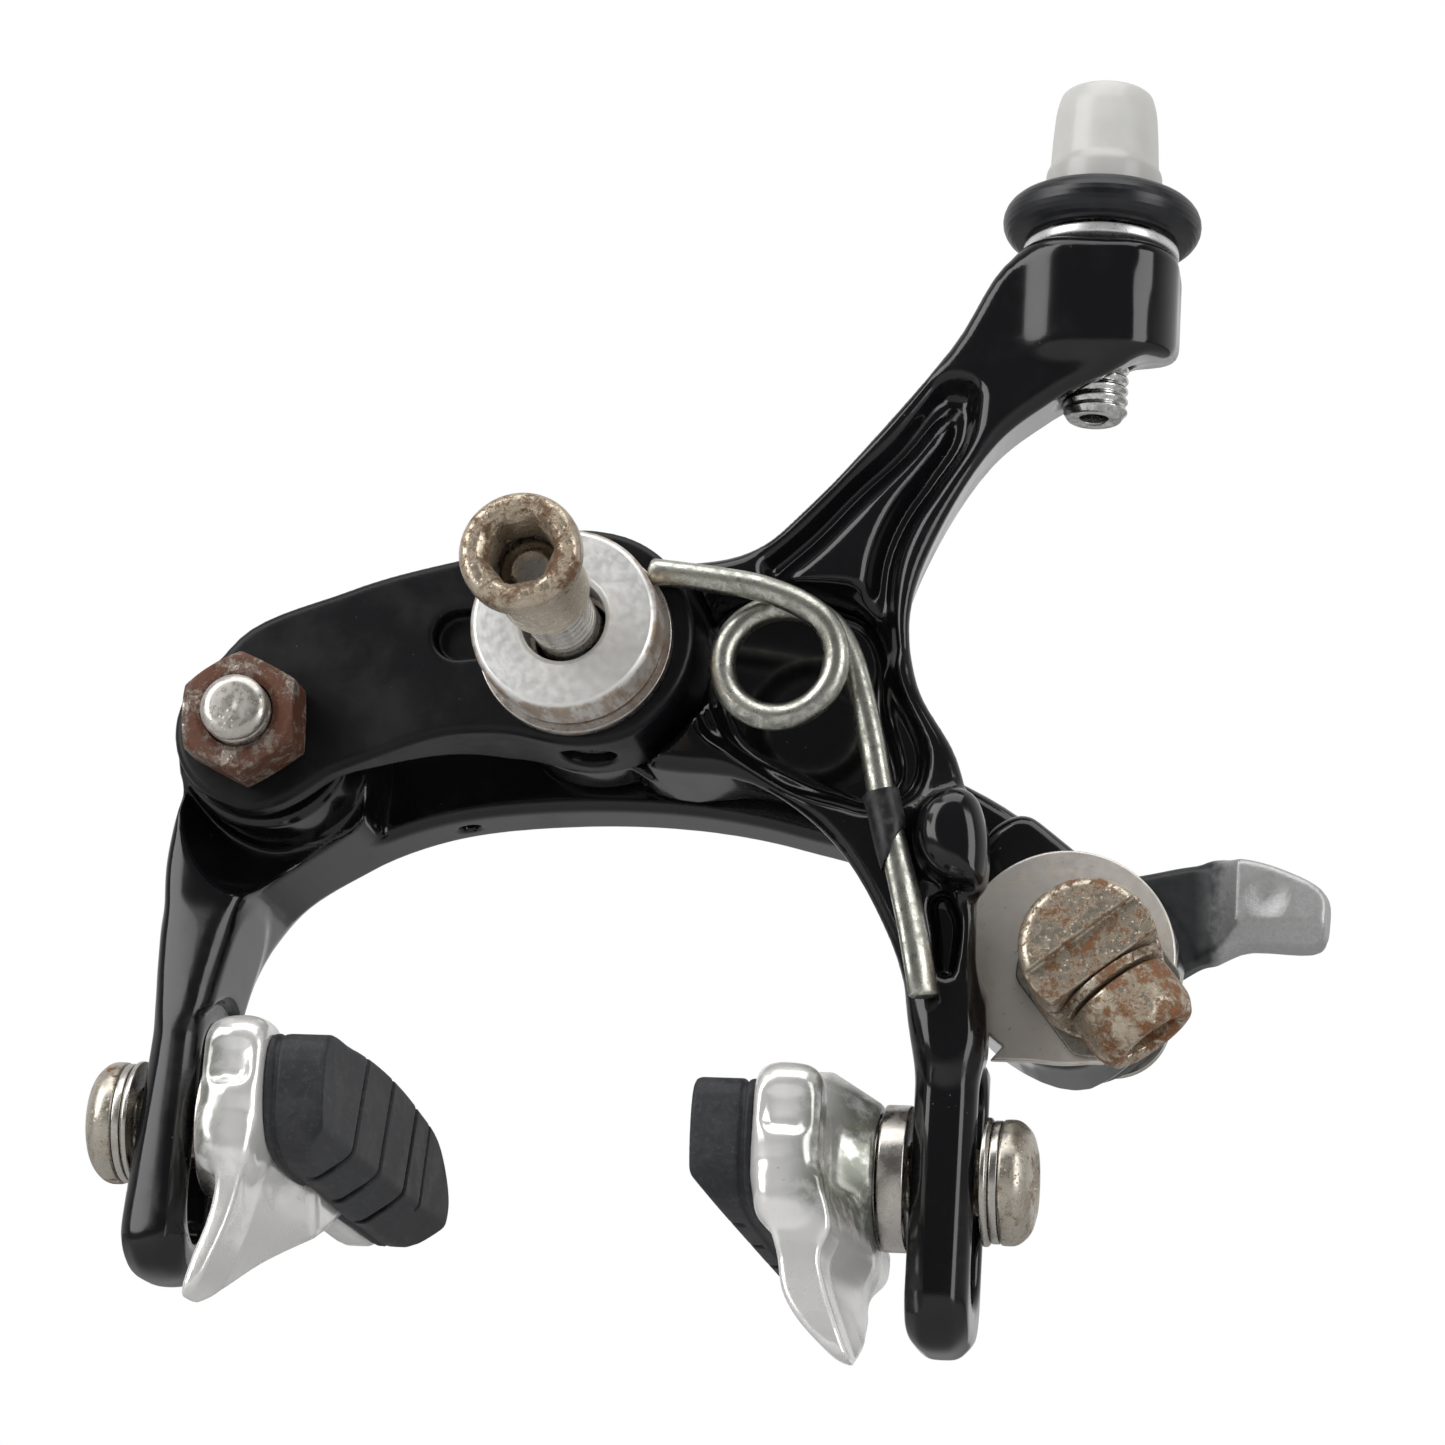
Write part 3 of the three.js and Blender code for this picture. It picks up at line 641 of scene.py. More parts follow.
def frosted_plastic():
    m = Look("frosted_plastic", (0.6, 0.6, 0.59), 0.34, Coat_Weight=0.35, Coat_Roughness=0.12,
             Subsurface_Weight=0.2, Subsurface_Scale=1.0, Subsurface_Radius=(0.0022, 0.0022, 0.0021))
    foot = m.ramp(m.along("Z"), 0.0484, 0.0492, 1.0, 0.0)
    cloud = m.noise(2.5, 4.0, 0.5)
    body = m.mix(cloud, (0.54, 0.535, 0.51), (0.64, 0.635, 0.61))
    m.paint(m.mix(m.times(foot, 0.4), body, (0.36, 0.355, 0.34)), m.ramp(cloud, 0.3, 0.7, 0.32, 0.46))
    m.grain(0.004, 0.25, 3.0)
    return m.material


def cast_lever():
    """Zinc casting: painted shade darkens the neck, where it lies in its groove, almost to black; the rubbed
    thumb pad is bright.
    """
    m = Look("cast_lever", (0.42, 0.42, 0.41), 0.4, 0.85)
    wobble = m.times(m.noise(1.4, 4.0), 0.0016)
    # Mask from 0 on the neck, which carries painted shade, to 1 on the thumb pad
    pad_mask = m.ramp(m.plus(m.along("X"), wobble), 0.0555, 0.0572)
    grain = m.noise(0.35, 6.0, 0.7)
    bright = m.mix(grain, (0.36, 0.365, 0.36), (0.66, 0.67, 0.66))
    # Painted shade: the neck is coloured near-black in place of its own metal colour
    dark = m.mix(m.noise(1.1, 5.0, 0.65), (0.022, 0.023, 0.025), (0.075, 0.077, 0.08))
    m.paint(m.mix(pad_mask, dark, bright), m.blend(pad_mask, 0.38, 0.44))
    m.set("Metallic", m.blend(pad_mask, 0.35, 0.9))
    m.bump(m.times(grain, pad_mask), 0.05)
    m.grain(0.02, 0.9, 4.0)
    return m.material


# ---- Forged and moulded pieces ----
def mount_bracket():
    g = Grid((-36.5, 5.5, -16.5), (11.5, 16.2, 11), 0.27)
    x, y, z = g.axes
    side = curved(x, z, [
        (-31.5, -1.3), (-21, 4.4), (-11, 7.4), (0, 9.6), (7, 4), (6, -7.6),
        (-2, -8.6), (-11, -8.9), (-20, -12.1), (-29, -15.6)])
    ear = circle(x, z, SIDE, 7.2)
    flat = union(union(side, circle(x, z, (0.7, 0.3), 9.9), 1.5), ear, 1.5)
    body = carve(flat, slab(y, 6, 15.6), 0.8)
    # Its far side slopes down to the thin ear that laps over arm B
    away = np.where(x > SIDE[0], np.maximum(circle(x, z, SIDE, 9.6), 0), 0)
    body = minus(body, (9.2 + 0.55 * away - y) * 0.876, 1.2)
    body = minus(body, carve(bar(x, z, (-10.6, 0.3), (-5, 0.9), 2.25), slab(y, 0, 7.9), 0.4), 0.5)
    body = minus(body, circle(x, z, PIVOT, BORE), 0.4)
    body = minus(body, circle(x, z, SIDE, BORE), 0.4)
    tapped = carve(circle(x, y, (1, 10.8), 2.4), slab(z, -20, -4.6), 0.2)
    return skin(g, minus(body, tapped, 0.5))


def arm_a():
    g = Grid((-9.6, 5.6, -61), (51.8, 24, 40), 0.36)
    x, y, z = g.axes
    web = curved(x, z, [
        (-1, 9.2), (8, 8.7), (14.4, 10), (19.5, 14.6), (31.2, 29.2), (36.8, 38.2), (45, 38.4), (47.5, 29),
        (41, 24.6), (36, 20.4), (31, 11.6), (29, 4.5), (30, -2.4), (33.8, -9), (35.8, -18), (36.4, -30),
        (36.7, -34.5), (34.3, -37), (32, -34.8), (28.7, -25.5), (23.2, -16.8), (15.6, -11.5), (4, -9)], 6)
    # The forging's draft narrows the web towards its far side
    draft = 0.2 * np.clip((np.hypot(x, z) - 14) / 8, 0, 1)
    body = carve(web + draft * np.maximum(y - 10.8, 0), slab(y, NEAR_A, FAR_A), 1.5)
    body = union(body, disc(g, PIVOT, 9.3, 15.9, FAR_A, 1.0), 1.0)
    lug = box(x, y, (36.7, 8.9), (51.2, 23.5), 5.6)
    barrel_lug = both(carve(lug, slab(z, 28.6, 39.6), 1.3), 28.4 + 0.26 * np.maximum(y - 10, 0) - z, 1.6)
    body = union(body, barrel_lug, 2.2)
    # The leg is a flat bar with a round foot and bevelled edges
    foot = -60.6
    leg = bevel(box(y, z, (NEAR_A, foot), (FAR_A, -28), 5.2), slab(x, *LEG_A), 1.5)
    leg = both(leg, box(x, z, (LEG_A[0], foot), (LEG_A[1], -20), 2.7), 0.6)
    body = union(body, leg, 2.6)
    # Shallow ledge, then the deep pocket for the spring
    ledge = curved(x, z, [
        (11, 6), (17, 6.2), (24.2, 6.2), (26.7, 2.4), (28.2, -2.5), (30.9, -8.6), (30.2, -12.2),
        (26.4, -13.9), (23.4, -13.3), (18.6, -11.9), (13.6, -8.6), (10.9, -6.4)], 5)
    body = minus(body, carve(ledge, slab(y, 0, 11.4), 1.2), 1.3)
    pocket = curved(x, z, [
        (11.4, 5.4), (23.6, 5.4), (26.2, 2), (26.8, -4), (28.4, -10.6), (26.4, -12.6), (23.5, -12),
        (19, -10.4), (12.4, -6)], 5)
    body = minus(body, carve(pocket, slab(y, 0, 16.6), 1.2), 1.1)
    # Hairpin groove up the cable limb: two soft troughs round a spine that widens towards the pocket
    left = [(31.1, 24.6), (27.6, 19.6), (23.7, 15.6), (19.9, 11.3), (16.8, 8.4)]
    right = [(32.7, 24.4), (32.3, 20.7), (30.2, 17), (27.9, 13.2), (26.6, 9.5), (26.3, 5.3), (26.4, 1)]
    for path, reach in ((left, 1.15), (right, 1.25)):
        trough = np.hypot(chain(x, z, spline(path, 5, closed=False), 0.0), (y - 9.6) * 0.5) - reach
        body = minus(body, trough, 1.7)
    # Stop lug over the spring's lower leg, and the recess below it
    stop = curved(x, z, [
        (30.75, -16.9), (30.9, -14.7), (31.9, -13.1), (33.9, -12.2), (35.7, -12.9), (36.8, -15.5),
        (37.1, -18.9), (36.7, -20.8), (35.2, -21), (32.9, -20.2), (31.5, -18.8)], 5)
    body = union(body, carve(stop, slab(y, 6.05, 13), 2.6), 1.3)
    recess = curved(x, z, [
        (32.2, -21.8), (33.4, -21.3), (34.6, -23), (34.7, -26), (34.1, -28.4), (33.2, -28.2),
        (32.6, -25)], 5)
    body = minus(body, carve(recess, slab(y, 0, 12.2), 1.0), 1.0)
    # Clearances and bores
    bracket_room = np.minimum(circle(x, z, PIVOT, 11.6), np.maximum(x - 2, np.abs(z) - 20))
    body = minus(body, carve(bracket_room, slab(y, -5, 15.9), 0.3), 0.5)
    body = minus(body, circle(x, z, PIVOT, BORE), 0.4)
    body = minus(body, disc(g, PIVOT, 6.6, 19.2, 40, 0.2), 0.4)
    for step in (0, 3, 6, 9):
        room = circle(x, z, (HUB[0] + step * 0.3, HUB[1] + step * 2.2), 11.9)
        body = minus(body, carve(room, slab(y, 16.4, 60), 0.2), 0.3)
    body = minus(body, bar(y, z, (SLOT_Y, -38.9), (SLOT_Y, -52.6), SLOT_RADIUS), 0.9)
    return skin(g, minus(body, circle(x, y, BARREL, BORE), 0.4))


def arm_b():
    g = Grid((-38.6, 9.4, -58.2), (53.4, 31, -0.2), 0.36)
    x, y, z = g.axes
    arch = curved(x, z, [
        (-34.8, -7), (-32, -2), (-26, -1), (-19, -1.8), (-8, -0.8), (6, -1.2), (22, -3.6), (35, -8.6),
        (44, -15), (53, -23), (45, -34.2), (36, -31), (27, -16.2), (18, -12.9), (8, -11.2), (-4, -11.1),
        (-15, -12.6), (-22.8, -15.8), (-27.6, -19.8), (-30, -25), (-31.3, -30), (-32.6, -34.4),
        (-35.2, -34.6), (-36.2, -31), (-36.5, -26), (-36.9, -20), (-36.3, -14.5)], 6)
    body = carve(arch, slab(y, 10.1, FAR_B), 1.7)
    # Far side tapers down to the leg
    taper = outline(y, z, [(30.6, -17), (80, -17), (80, -70), (22.4, -70), (22.4, -32), (25.4, -25)])
    body = minus(body, np.maximum(taper, x + 20), 2.0)
    # The arch lies beyond the Y-arm and the bracket
    beyond = outline(x, z, [(-20.4, -80), (33, -80), (33, 30), (-24.4, 30), (-24.4, -1.6), (-20.4, -5.5)])
    body = minus(body, carve(beyond, slab(y, -40, 23), 1.0), 1.2)
    body = minus(body, np.maximum(32 - x, y - 18.9), 1.6)
    shoulder = outline(x, z, [(32, -17), (36, -12.6), (41, -9), (41, 20), (32, 20)])
    body = minus(body, np.maximum(shoulder, y - 23), 2.0)
    side_hub = disc(g, SIDE, 7.9, 10.9, FAR_B, 0.8)
    body = union(body, side_hub, 1.0)
    lever_hub = circle(x, z, HUB, 9.2 - np.clip((y - 19) * 0.16, 0, 0.9))
    body = union(body, carve(lever_hub, slab(y, 18.9, FAR_B), 1.2), 1.0)
    # Scoop that clears the bracket's ear, ringed by the leg's shoulder
    reach = (x - SIDE[0] + 0.6) * np.where(x < SIDE[0] - 0.6, 1.75, 1)
    scoop = np.sqrt(reach ** 2 + (z - SIDE[1] + 1.2) ** 2 + (0.9 * (y - 5.5)) ** 2) - 13.6
    body = union(minus(body, scoop, 0.7), side_hub, 1.6)
    # The leg's near face leans a little to the left
    front = curved(x, z, [
        (-36.8, -17), (-36.5, -23), (-36.4, -30), (-36.8, -38), (-37.5, -48), (-37.7, -54), (-36.8, -57),
        (-34.8, -57.6), (-32.6, -56.8), (-31.9, -54), (-31.9, -48), (-31.9, -40), (-31.8, -34.6),
        (-31, -29.4), (-29.9, -24), (-30, -17), (-33.4, -15.5)], 6)
    body = union(body, bevel(box(y, z, (10.0, -57.6), (22.4, -22), 5.2), front, 1.5), 1.6)
    lean = 9.95 - y - 0.2 * (x + 34.2)
    body = both(body, np.where(z < -14, lean, np.maximum(lean, -9.0)), 0.5)
    body = minus(body, circle(x, z, HUB, 7.6), 0.4)
    body = minus(body, circle(x, z, SIDE, BORE), 0.4)
    body = minus(body, np.maximum(bar(y, z, (SLOT_Y, -37), (SLOT_Y, -49.6), SLOT_RADIUS), x + 25), 0.9)
    # The inner washer slides on the leg
    seat = bar(y, z, (SLOT_Y, -38.4), (SLOT_Y, -46.8), 6.8)
    body = minus(body, np.maximum(seat, np.maximum(-31.85 - x, x + 28.6)), 0.9)
    drain = carve(circle(x, y, (-13, 26.5), 0.9), slab(z, -20, -10), 0.2)
    return skin(g, minus(body, drain, 0.4))


def quick_release_lever():
    g = Grid((33.6, 18.6, -34.4), (66.1, 34.7, -12.1), 0.24)
    x, y, z = g.axes
    blade = curved(x, z, [
        (44, -16), (50.5, -13.4), (57, -12.6), (61.5, -13.6), (65.2, -15.7), (65.5, -18), (64.9, -20.1),
        (57.6, -20.5), (52, -23.4), (47, -28)], 6)
    neck = carve(blade, slab(y, 30.8, 34.3), 0.9)
    # Thumb pad: a faceted block that leans towards the fork, with a shallow dimple
    pad = outline(x, y, [(54.6, 31.2), (57.4, 28.5), (65.6, 28.5), (65.6, 31.4), (59, 32), (55.4, 34.2)])
    pad = carve(blade, pad, 0.7)
    pad = both(pad, -(z + 18.6) * 0.62 + (28.5 - y) * 0.78, 0.35)
    dimple = np.sqrt((x - 60) ** 2 + (z + 16.3) ** 2 + (y - 25.6) ** 2) - 3.3
    pad = minus(pad, dimple, 0.4)
    body = union(neck, pad, 1.4)
    body = minus(body, disc(g, HUB, 11, 0, 30.8, 0.3), 0.5)
    body = union(body, disc(g, HUB, 7.3, 18.9, 32, 0.3), 0.3)
    body = union(body, disc(g, HUB, 8.3, 30.8, 34.35, 1.2), 0.8)
    return skin(g, minus(body, circle(x, z, POST, BORE), 0.3))


def quick_release_washer():
    g = Grid((33.4, 17.4, -34.6), (53.2, 18.8, -15), 0.11)
    x, y, z = g.axes
    # Round plate with a forked tab that stops the lever
    tab = outline(x, z, [(36.6, -26.5), (37, -30.2), (38.7, -32.2), (37.1, -34.2), (47, -34.2), (48, -28)])
    plate = union(circle(x, z, HUB, 9.6), tab, 0.25)
    body = carve(plate, slab(y, 17.6, 18.6), 0.22)
    return skin(g, minus(body, circle(x, z, POST, BORE), 0.15))


def clamp_plane(x, z):
    """Distances from the post's axis, along the clamp screw and square to it."""
    x, z = x - POST[0], z - POST[1]
    return x * CLAMP[0] + z * CLAMP[2], x * -CLAMP[2] + z * CLAMP[0]


def anchor_seat_washer():
    g = Grid((38.9, 16.5, -34.1), (53.7, 17.5, -19.3), 0.09)
    x, y, z = g.axes
    along, over = clamp_plane(x, z)
    plate = carve(circle(x, z, POST, 7.2), box(along, over, (-5.9, -5.9), (5.9, 5.9), 0.5), 0.3)
    body = carve(plate, slab(y, 16.7, 17.3), 0.14)
    return skin(g, minus(body, circle(x, z, POST, BORE), 0.1))


def anchor_post():
    g = Grid((40.1, 4.2, -32.9), (52.5, 36.4, -20.5), 0.17)
    x, y, z = g.axes
    head = disc(g, POST, 5.95, 4.4, 16.4, 1.1)
    body = union(head, disc(g, POST, 3.0, 15, 36.2, 0.4), 0.3)
    along, over = clamp_plane(x, z)
    body = minus(body, np.maximum(2.3 - along, y - 15.3), 0.25)
    body = minus(body, np.maximum(-1.1 - along, y - 5.15), 0.12)
    bore = np.maximum(np.hypot(y - CLAMP_Y, over) - 2.7, -3.6 - along)
    groove = np.hypot(along - 2.3, y - CLAMP_Y) - 0.9
    return skin(g, minus(minus(body, bore, 0.25), groove, 0.3))


def shoe_fields(g, side, inner, pad_z):
    """Fields shared by the holder and the rubber: distance u from the leg, and the shoe's side view."""
    u = (inner - g.x) * side
    y, z = g.y, g.z - pad_z
    view = curved(y, z, [
        (-5.6, 4.5), (3, 5.7), (15, 6.2), (28, 5.5), (38, 3.8), (43, -0.8), (40, -5), (26, -6), (12, -5.8),
        (-3, -4.6), (-5.6, -2)], 6)
    return u, y, z, view


def shoe_holder(side, inner, stud_z):
    pad_z = stud_z - 1
    xs = sorted((inner - side * 2.6, inner - side * 10.8))
    g = Grid((xs[0], -7.4, pad_z - 19), (xs[1], 44.2, pad_z + 10.2), 0.27)
    u, y, z, view = shoe_fields(g, side, inner, pad_z)
    plate = carve(view - np.clip(0.7 + (z + 1) * 0.15, 0.05, 0.75), slab(u, 7.4, 10.5), 0.9)
    # Blunt near end with a hammered square facet
    nose = carve(box(y, z, (-6.95, -7), (-0.3, 6.5), 2.6), slab(u, 5.3, 10.45), 1.8)
    body = union(plate, nose, 1.6)
    web = carve(curved(y, z, [(-5, -5), (2, 4), (14, 4.6), (26, 3.4), (26, -3.6), (12, -5.6)], 5),
                slab(u, 6.4, 9), 0.8)
    body = union(body, web, 1.4)
    # Wheel guide that curls down and out below the shoe
    curl = {
        1: [(9.8, -2.6), (9.3, -6), (8.2, -9.3), (7.4, -12.7), (5, -15.9), (1.6, -18.3), (2.3, -16.4),
            (4, -12), (4.6, -9.4), (3.9, -7.1), (4.5, -4.4), (5.6, -2)],
        -1: [(9.9, -2.6), (9.9, -6), (9.3, -9.5), (8.2, -13.5), (6.8, -16.8), (5.7, -17.6), (6.2, -14.5),
             (7.1, -11), (7.5, -7.8), (7.1, -5), (6.1, -3.2), (5.8, -1.5)]}[side]
    section = curved(u + (0.1 if side > 0 else -0.2) * np.clip(y, 0, 12), z, curl, 6)
    reach = curved(y, z, [
        (-5.9, -2), (-6.3, -10), (-6.7, -17.5), (-3.4, -18), *{
            1: [(6, -15.4), (15, -11), (24, -6.5)], -1: [(5, -12.8), (14, -8.6), (22, -5)]}[side],
        (30, -3.5), (10, -1)], 6)
    body = union(body, carve(section, np.maximum(reach, u - 12), 0.55), 1.3)
    # Conical boss on the bolt
    r = np.hypot(y - SLOT_Y, z - 1)
    cone = both(r - np.clip(6.3 + (u - 2.9) * 0.6, 6.3, 9 if side > 0 else 7.4), slab(u, 2.9, 9.6), 0.4)
    body = union(body, cone, 1.2)
    facet = both(carve(np.abs(u - 8) - 1.6, np.abs(z - 2.4) - 1.7, 0.9), y + 6.55 + 0.2 * (z - 2.4), 1.0)
    body = minus(body, facet, 1.1)
    body = minus(body, np.maximum(r - 5.55, u - 4.9), 0.3)
    body = minus(body, np.maximum(r - BORE, np.abs(u - 6.9) - 2.9), 0.3)
    return skin(g, body)


def rubber_pad(side, inner, stud_z):
    pad_z = stud_z - 1
    xs = sorted((inner - side * PAD_BACK, inner - side * PAD_FACE))
    g = Grid((xs[0], -6.4, pad_z - 6.6), (xs[1], 43.3, pad_z + 6.6), 0.2)
    u, y, z, view = shoe_fields(g, side, inner, pad_z)
    body = carve(view, slab(u, PAD_BACK, PAD_FACE), 0.45)
    # Lower edge falls away from the friction face
    body = both(body, (u - PAD_FACE) * 0.74 + (-z - 2.9) * 0.67, 0.3)
    # Shallow groove all round, beside the holder
    body = minus(body, np.maximum(-(view + 0.3), np.abs(u - 11.7) - 0.22), 0.25)
    # Slanted grooves in the friction face
    for at in (9, 18.5, 28):
        line = chain(y, z, [(at + 0.4, 9), (at - 3.4, -4), (at - 8.5, -9)], 0.42)
        body = minus(body, np.maximum(line, 14.9 - u - np.maximum(-z - 2.9, 0) * 0.9), 0.2)
    # Slit near the far end, where the rubber flexes
    slot = chain(y, z, [(33, 6), (31, -3.6)], 0.25)
    body = minus(body, np.maximum(slot, 15.5 - u), 0.15)
    return skin(g, body)


# ---- Turned and bent pieces ----
def on_y(profile, centre, **options):
    return turned(profile, (0, 1, 0), (centre[0], 0, centre[1]), **options)


def on_z(profile, **options):
    return turned(profile, (0, 0, 1), (*BARREL, 0), **options)


def on_clamp(profile, **options):
    return turned(profile, CLAMP, (POST[0], CLAMP_Y, POST[1]), **options)


def ring(inner, outer, low, high, soft=0.18):
    return [(inner, low, soft), (outer, low, soft), (outer, high, soft), (inner, high, soft)]


def shoe_stack(side, inner, outer, stud_z):
    """The washers and the bolt that clamp one shoe to its arm."""
    def on_stud(profile, depth):
        placed = [(q[0], depth(q[1]), *q[2:]) for q in profile]
        return turned(placed, (1, 0, 0), (0, SLOT_Y, stud_z))

    def u(distance):
        return inner - side * distance

    def v(distance):
        return outer + side * distance

    return {
        "inner_cone_washer": on_stud([
            (3.3, 4.65, 0.1), (4.2, 4.65, 0.2), (5.2, 3.4, 0.25), (5.2, 2.85, 0.1), (3.3, 2.85, 0.1)],
            u),
        "inner_washer": on_stud(ring(BORE, 6.35, 0.3, 2.55, 0.2), u),
        "outer_cone_washer": on_stud([
            (3.3, 0.3, 0.1), (5.55, 0.3, 0.1), (5.55, 0.7, 0.1), (5.2, 1, 0.15), (3.3, 1, 0.1)],
            v),
        "outer_washer": on_stud(ring(BORE, 5.3, 1.05, 1.75, 0.12), v),
        "shoe_bolt": turned([
            (0, u(9.35)), (2.5, u(9.35), 0.3), (2.95, u(9.0), 0.2), (2.95, u(2), 0.1, "thread"),
            (2.95, v(1.8), 0.1), (5.4, v(1.8), 0.3), (5.45, v(3.2), 0.7), (4.4, v(4.35), 0.9),
            (2.9, v(4.75), 0.4), (2.65, v(4.65), 0.1), (2.0, v(4.2), 0.1, "socket"),
            (2.0, v(3.1), 0.1, "socket"), (1.2, v(2.9), 0.1), (0, v(2.8))],
            (1, 0, 0), (0, SLOT_Y, stud_z), sides=108),
    }


def return_spring():
    """Upper leg to the spacer, one opening turn in the pocket, then the lower leg past the stop lug."""
    upper = [(6.5, 4.5, 5.85), (9.6, 4.5, 5.5), (13, 4.5, 5.05), (16.6, 4.55, 4.4)]
    turn = []
    for i in range(15):
        t = i / 14
        angle = math.radians(68 - t * 412)
        radius = 5.15 + 0.75 * max(0.0, (t - 0.72) / 0.28) ** 1.5
        turn.append((18.3 + radius * math.cos(angle), 4.75 + 3.0 * t, -1.75 + radius * math.sin(angle)))
    lower = [(x, 7.9, z) for x, z in (
        (26.1, -6.6), (27.9, -14.2), (29.25, -18.6), (30.9, -24.5), (32.3, -31.0))]
    path = spline(upper + turn + lower, 9, closed=False)
    return wire(path, 1.18, lambda t: min(max((t - 0.88) / 0.06, 0.0), 1.0))


def spring_sleeve():
    """Thin tube round the lower leg, with its foot cut at a slant."""
    top, foot = np.array([27.6, 7.9, -13.0]), np.array([29.0, 7.9, -17.9])
    axis = (foot - top) / norm(foot - top)
    lateral = np.array([-axis[2], 0, axis[0]])
    length = norm(foot - top)
    piece = turned([
        (1.25, 0, 0.05), (1.66, 0, 0.12), (1.56, length * 0.3, 0.7), (1.62, length * 0.75, 0.7),
        (1.5, length, 0.12), (1.25, length, 0.05)], axis, top, sides=64)
    for corner in piece.data.vertices:
        q = np.array(corner.co) / MM - top
        cut = max(q @ axis / length - 0.3, 0) / 0.7
        corner.co = (q + top - axis * cut * (q @ lateral) * 1.2) * MM
    return piece


# ---- Build every piece on its CAD body ----
node_body = {n: b for b, nodes in frame["record"]["behaviour"]["bodies"].items() for n in nodes}


def show(node, piece, material):
    """Puts the piece in place of a CAD node."""
    piece.name = f"{node}_look"
    piece.data.name = piece.name
    piece.data.materials.clear()
    piece.data.materials.append(material)
    if node != "return_spring":
        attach(piece, node_body[node])
    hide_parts(node)


gloss = gloss_black()
satin = satin_black()
rubber = moulded_rubber()
polished = polished_aluminium()
bolt_zinc = rusty_steel("worn_zinc_bolt", 0.42, (0.62, 0.58, 0.5), (0.2, 0.092, 0.04), 0.9)

show("mount_bracket", mount_bracket(), satin)
show("centring_screw", turned([
    (0, -4.95), (2.1, -4.95, 0.1), (2.1, -5.4, 0.1, "thread"), (2.1, -8.3, 0.1), (1.8, -8.65, 0.15),
    (1.25, -8.65, 0.1), (1.02, -8.5, 0.05, "socket"), (1.02, -7.0, 0.05, "socket"), (0, -6.8)],
    (0, 0, 1), (1, 10.8, 0), pitch=0.7, sides=60), rusty_steel("set_screw", 0.15, (0.1, 0.1, 0.1)))
show("bridge_spacer", on_y([
    (3.75, 0.45, 0.1), (4.2, 0.03, 0.15), (7.8, 0.03, 0.2), (8.27, 0.5, 0.25), (8.27, 4.37, 0.15),
    (3.75, 4.37, 0.1)], PIVOT, sides=128),
    turned_metal("spacer_aluminium", (0.93, 0.93, 0.91), (0.42, 0.31, 0.22), 0.36, ("Y", *PIVOT), 0.3,
                 metallic=0.6, wall=0.0081))
show("spacer_washer", on_y(ring(3.4, 8.68, 4.62, 5.78, 0.15), (0.2, -0.3), sides=128),
     turned_metal("washer_steel", (0.58, 0.54, 0.5), (0.2, 0.11, 0.06), 0.3, ("Y", 0.2, -0.3), 0.9))
show("centre_bolt", on_y([
    (0, -13.88), (1.5, -13.8, 0.2), (2.5, -13.2, 0.3), (M6, -12.6, 0.2, "thread"), (M6, 0.6, 0.1, "thread"),
    (M6, 2, 0.1), (M6, 16, 0.1, "thread"), (M6, 22.0, 0.2), (2.4, 22.58, 0.2), (0, 22.58)], PIVOT),
    turned_metal("bolt_steel", (0.6, 0.57, 0.53), (0.2, 0.12, 0.07), 0.28, ("Y", *PIVOT), 0.6))
show("sleeve_nut", on_y([
    (3.25, -7.1, 0.1), (3.6, -7.02, 0.1), (3.88, -7.4, 0.15), (3.88, -15.9, 0.35), (5.18, -16.7, 0.35),
    (5.18, -18.3, 0.6), (4.6, -18.98, 0.5), (3.55, -18.98, 0.3), (3.1, -18.5, 0.15),
    (2.6, -17.9, 0.1, "socket"), (2.6, -14.4, 0.05, "socket"), (2.95, -14.1, 0.05), (3.25, -13.9, 0.05)],
    PIVOT, turn=-0.2, sides=120),
    rusty_steel("sleeve_nut_steel", 0.55, (0.66, 0.57, 0.45), (0.16, 0.078, 0.035), 1.2, (-0.0184, -0.0158)))
show("centre_front_washer", on_y(ring(BORE, 6.18, 19.52, 20.18, 0.15), PIVOT),
     plain_steel("plain_steel", PIVOT, 0.4))
show("centre_lock_nut", on_y([
    (3.1, 20.42, 0.1), (5.74, 20.42, 0.05, "nut"), (5.74, 21.9, 0.1, "nut"), (4.75, 22.38, 0.1, "nut"),
    (3.6, 22.38, 0.1), (3.1, 22.0, 0.1)], PIVOT, across=9.95, sides=120),
    plain_steel("nut_steel", PIVOT, 0.5))

side_rust = rusty_steel("side_pivot_steel", 0.7, (0.52, 0.48, 0.44), (0.125, 0.046, 0.024), 1.3)
show("side_pivot_bolt", on_y([
    (0, -1.02), (0.6, -1.08, 0.3), (2.3, -1.05, 0.5), (M6, -0.5, 0.3), (M6, 0.5, 0.1, "thread"),
    (M6, 8, 0.1), (M6, 31.05, 0.2), (5.15, 31.05, 0.3), (5.15, 33.2, 0.5), (4.2, 34.1, 0.6),
    (2.7, 34.1, 0.2), (2.02, 33.7, 0.1, "socket"), (2.02, 32.1, 0.1, "socket"), (0, 31.8)], SIDE, sides=108),
    rusty_steel("side_bolt_steel", 0.22, (0.66, 0.63, 0.58), (0.2, 0.09, 0.045), 1.2))
show("side_pivot_nut", on_y([
    (3.12, 5.5, 0.1), (3.5, 5.78, 0.1), (4.8, 5.78, 0.1, "nut"), (5.76, 5.4, 0.1, "nut"),
    (5.76, 1.7, 0.15, "nut"), (5.0, 0.95, 0.15, "nut"), (3.7, 0.93, 0.15), (3.12, 1.3, 0.1)],
    SIDE, across=10.0, turn=math.radians(26), sides=144), side_rust)
show("side_pivot_washer", on_y(ring(BORE, 5.58, 9.52, 10.58, 0.2), SIDE), side_rust)

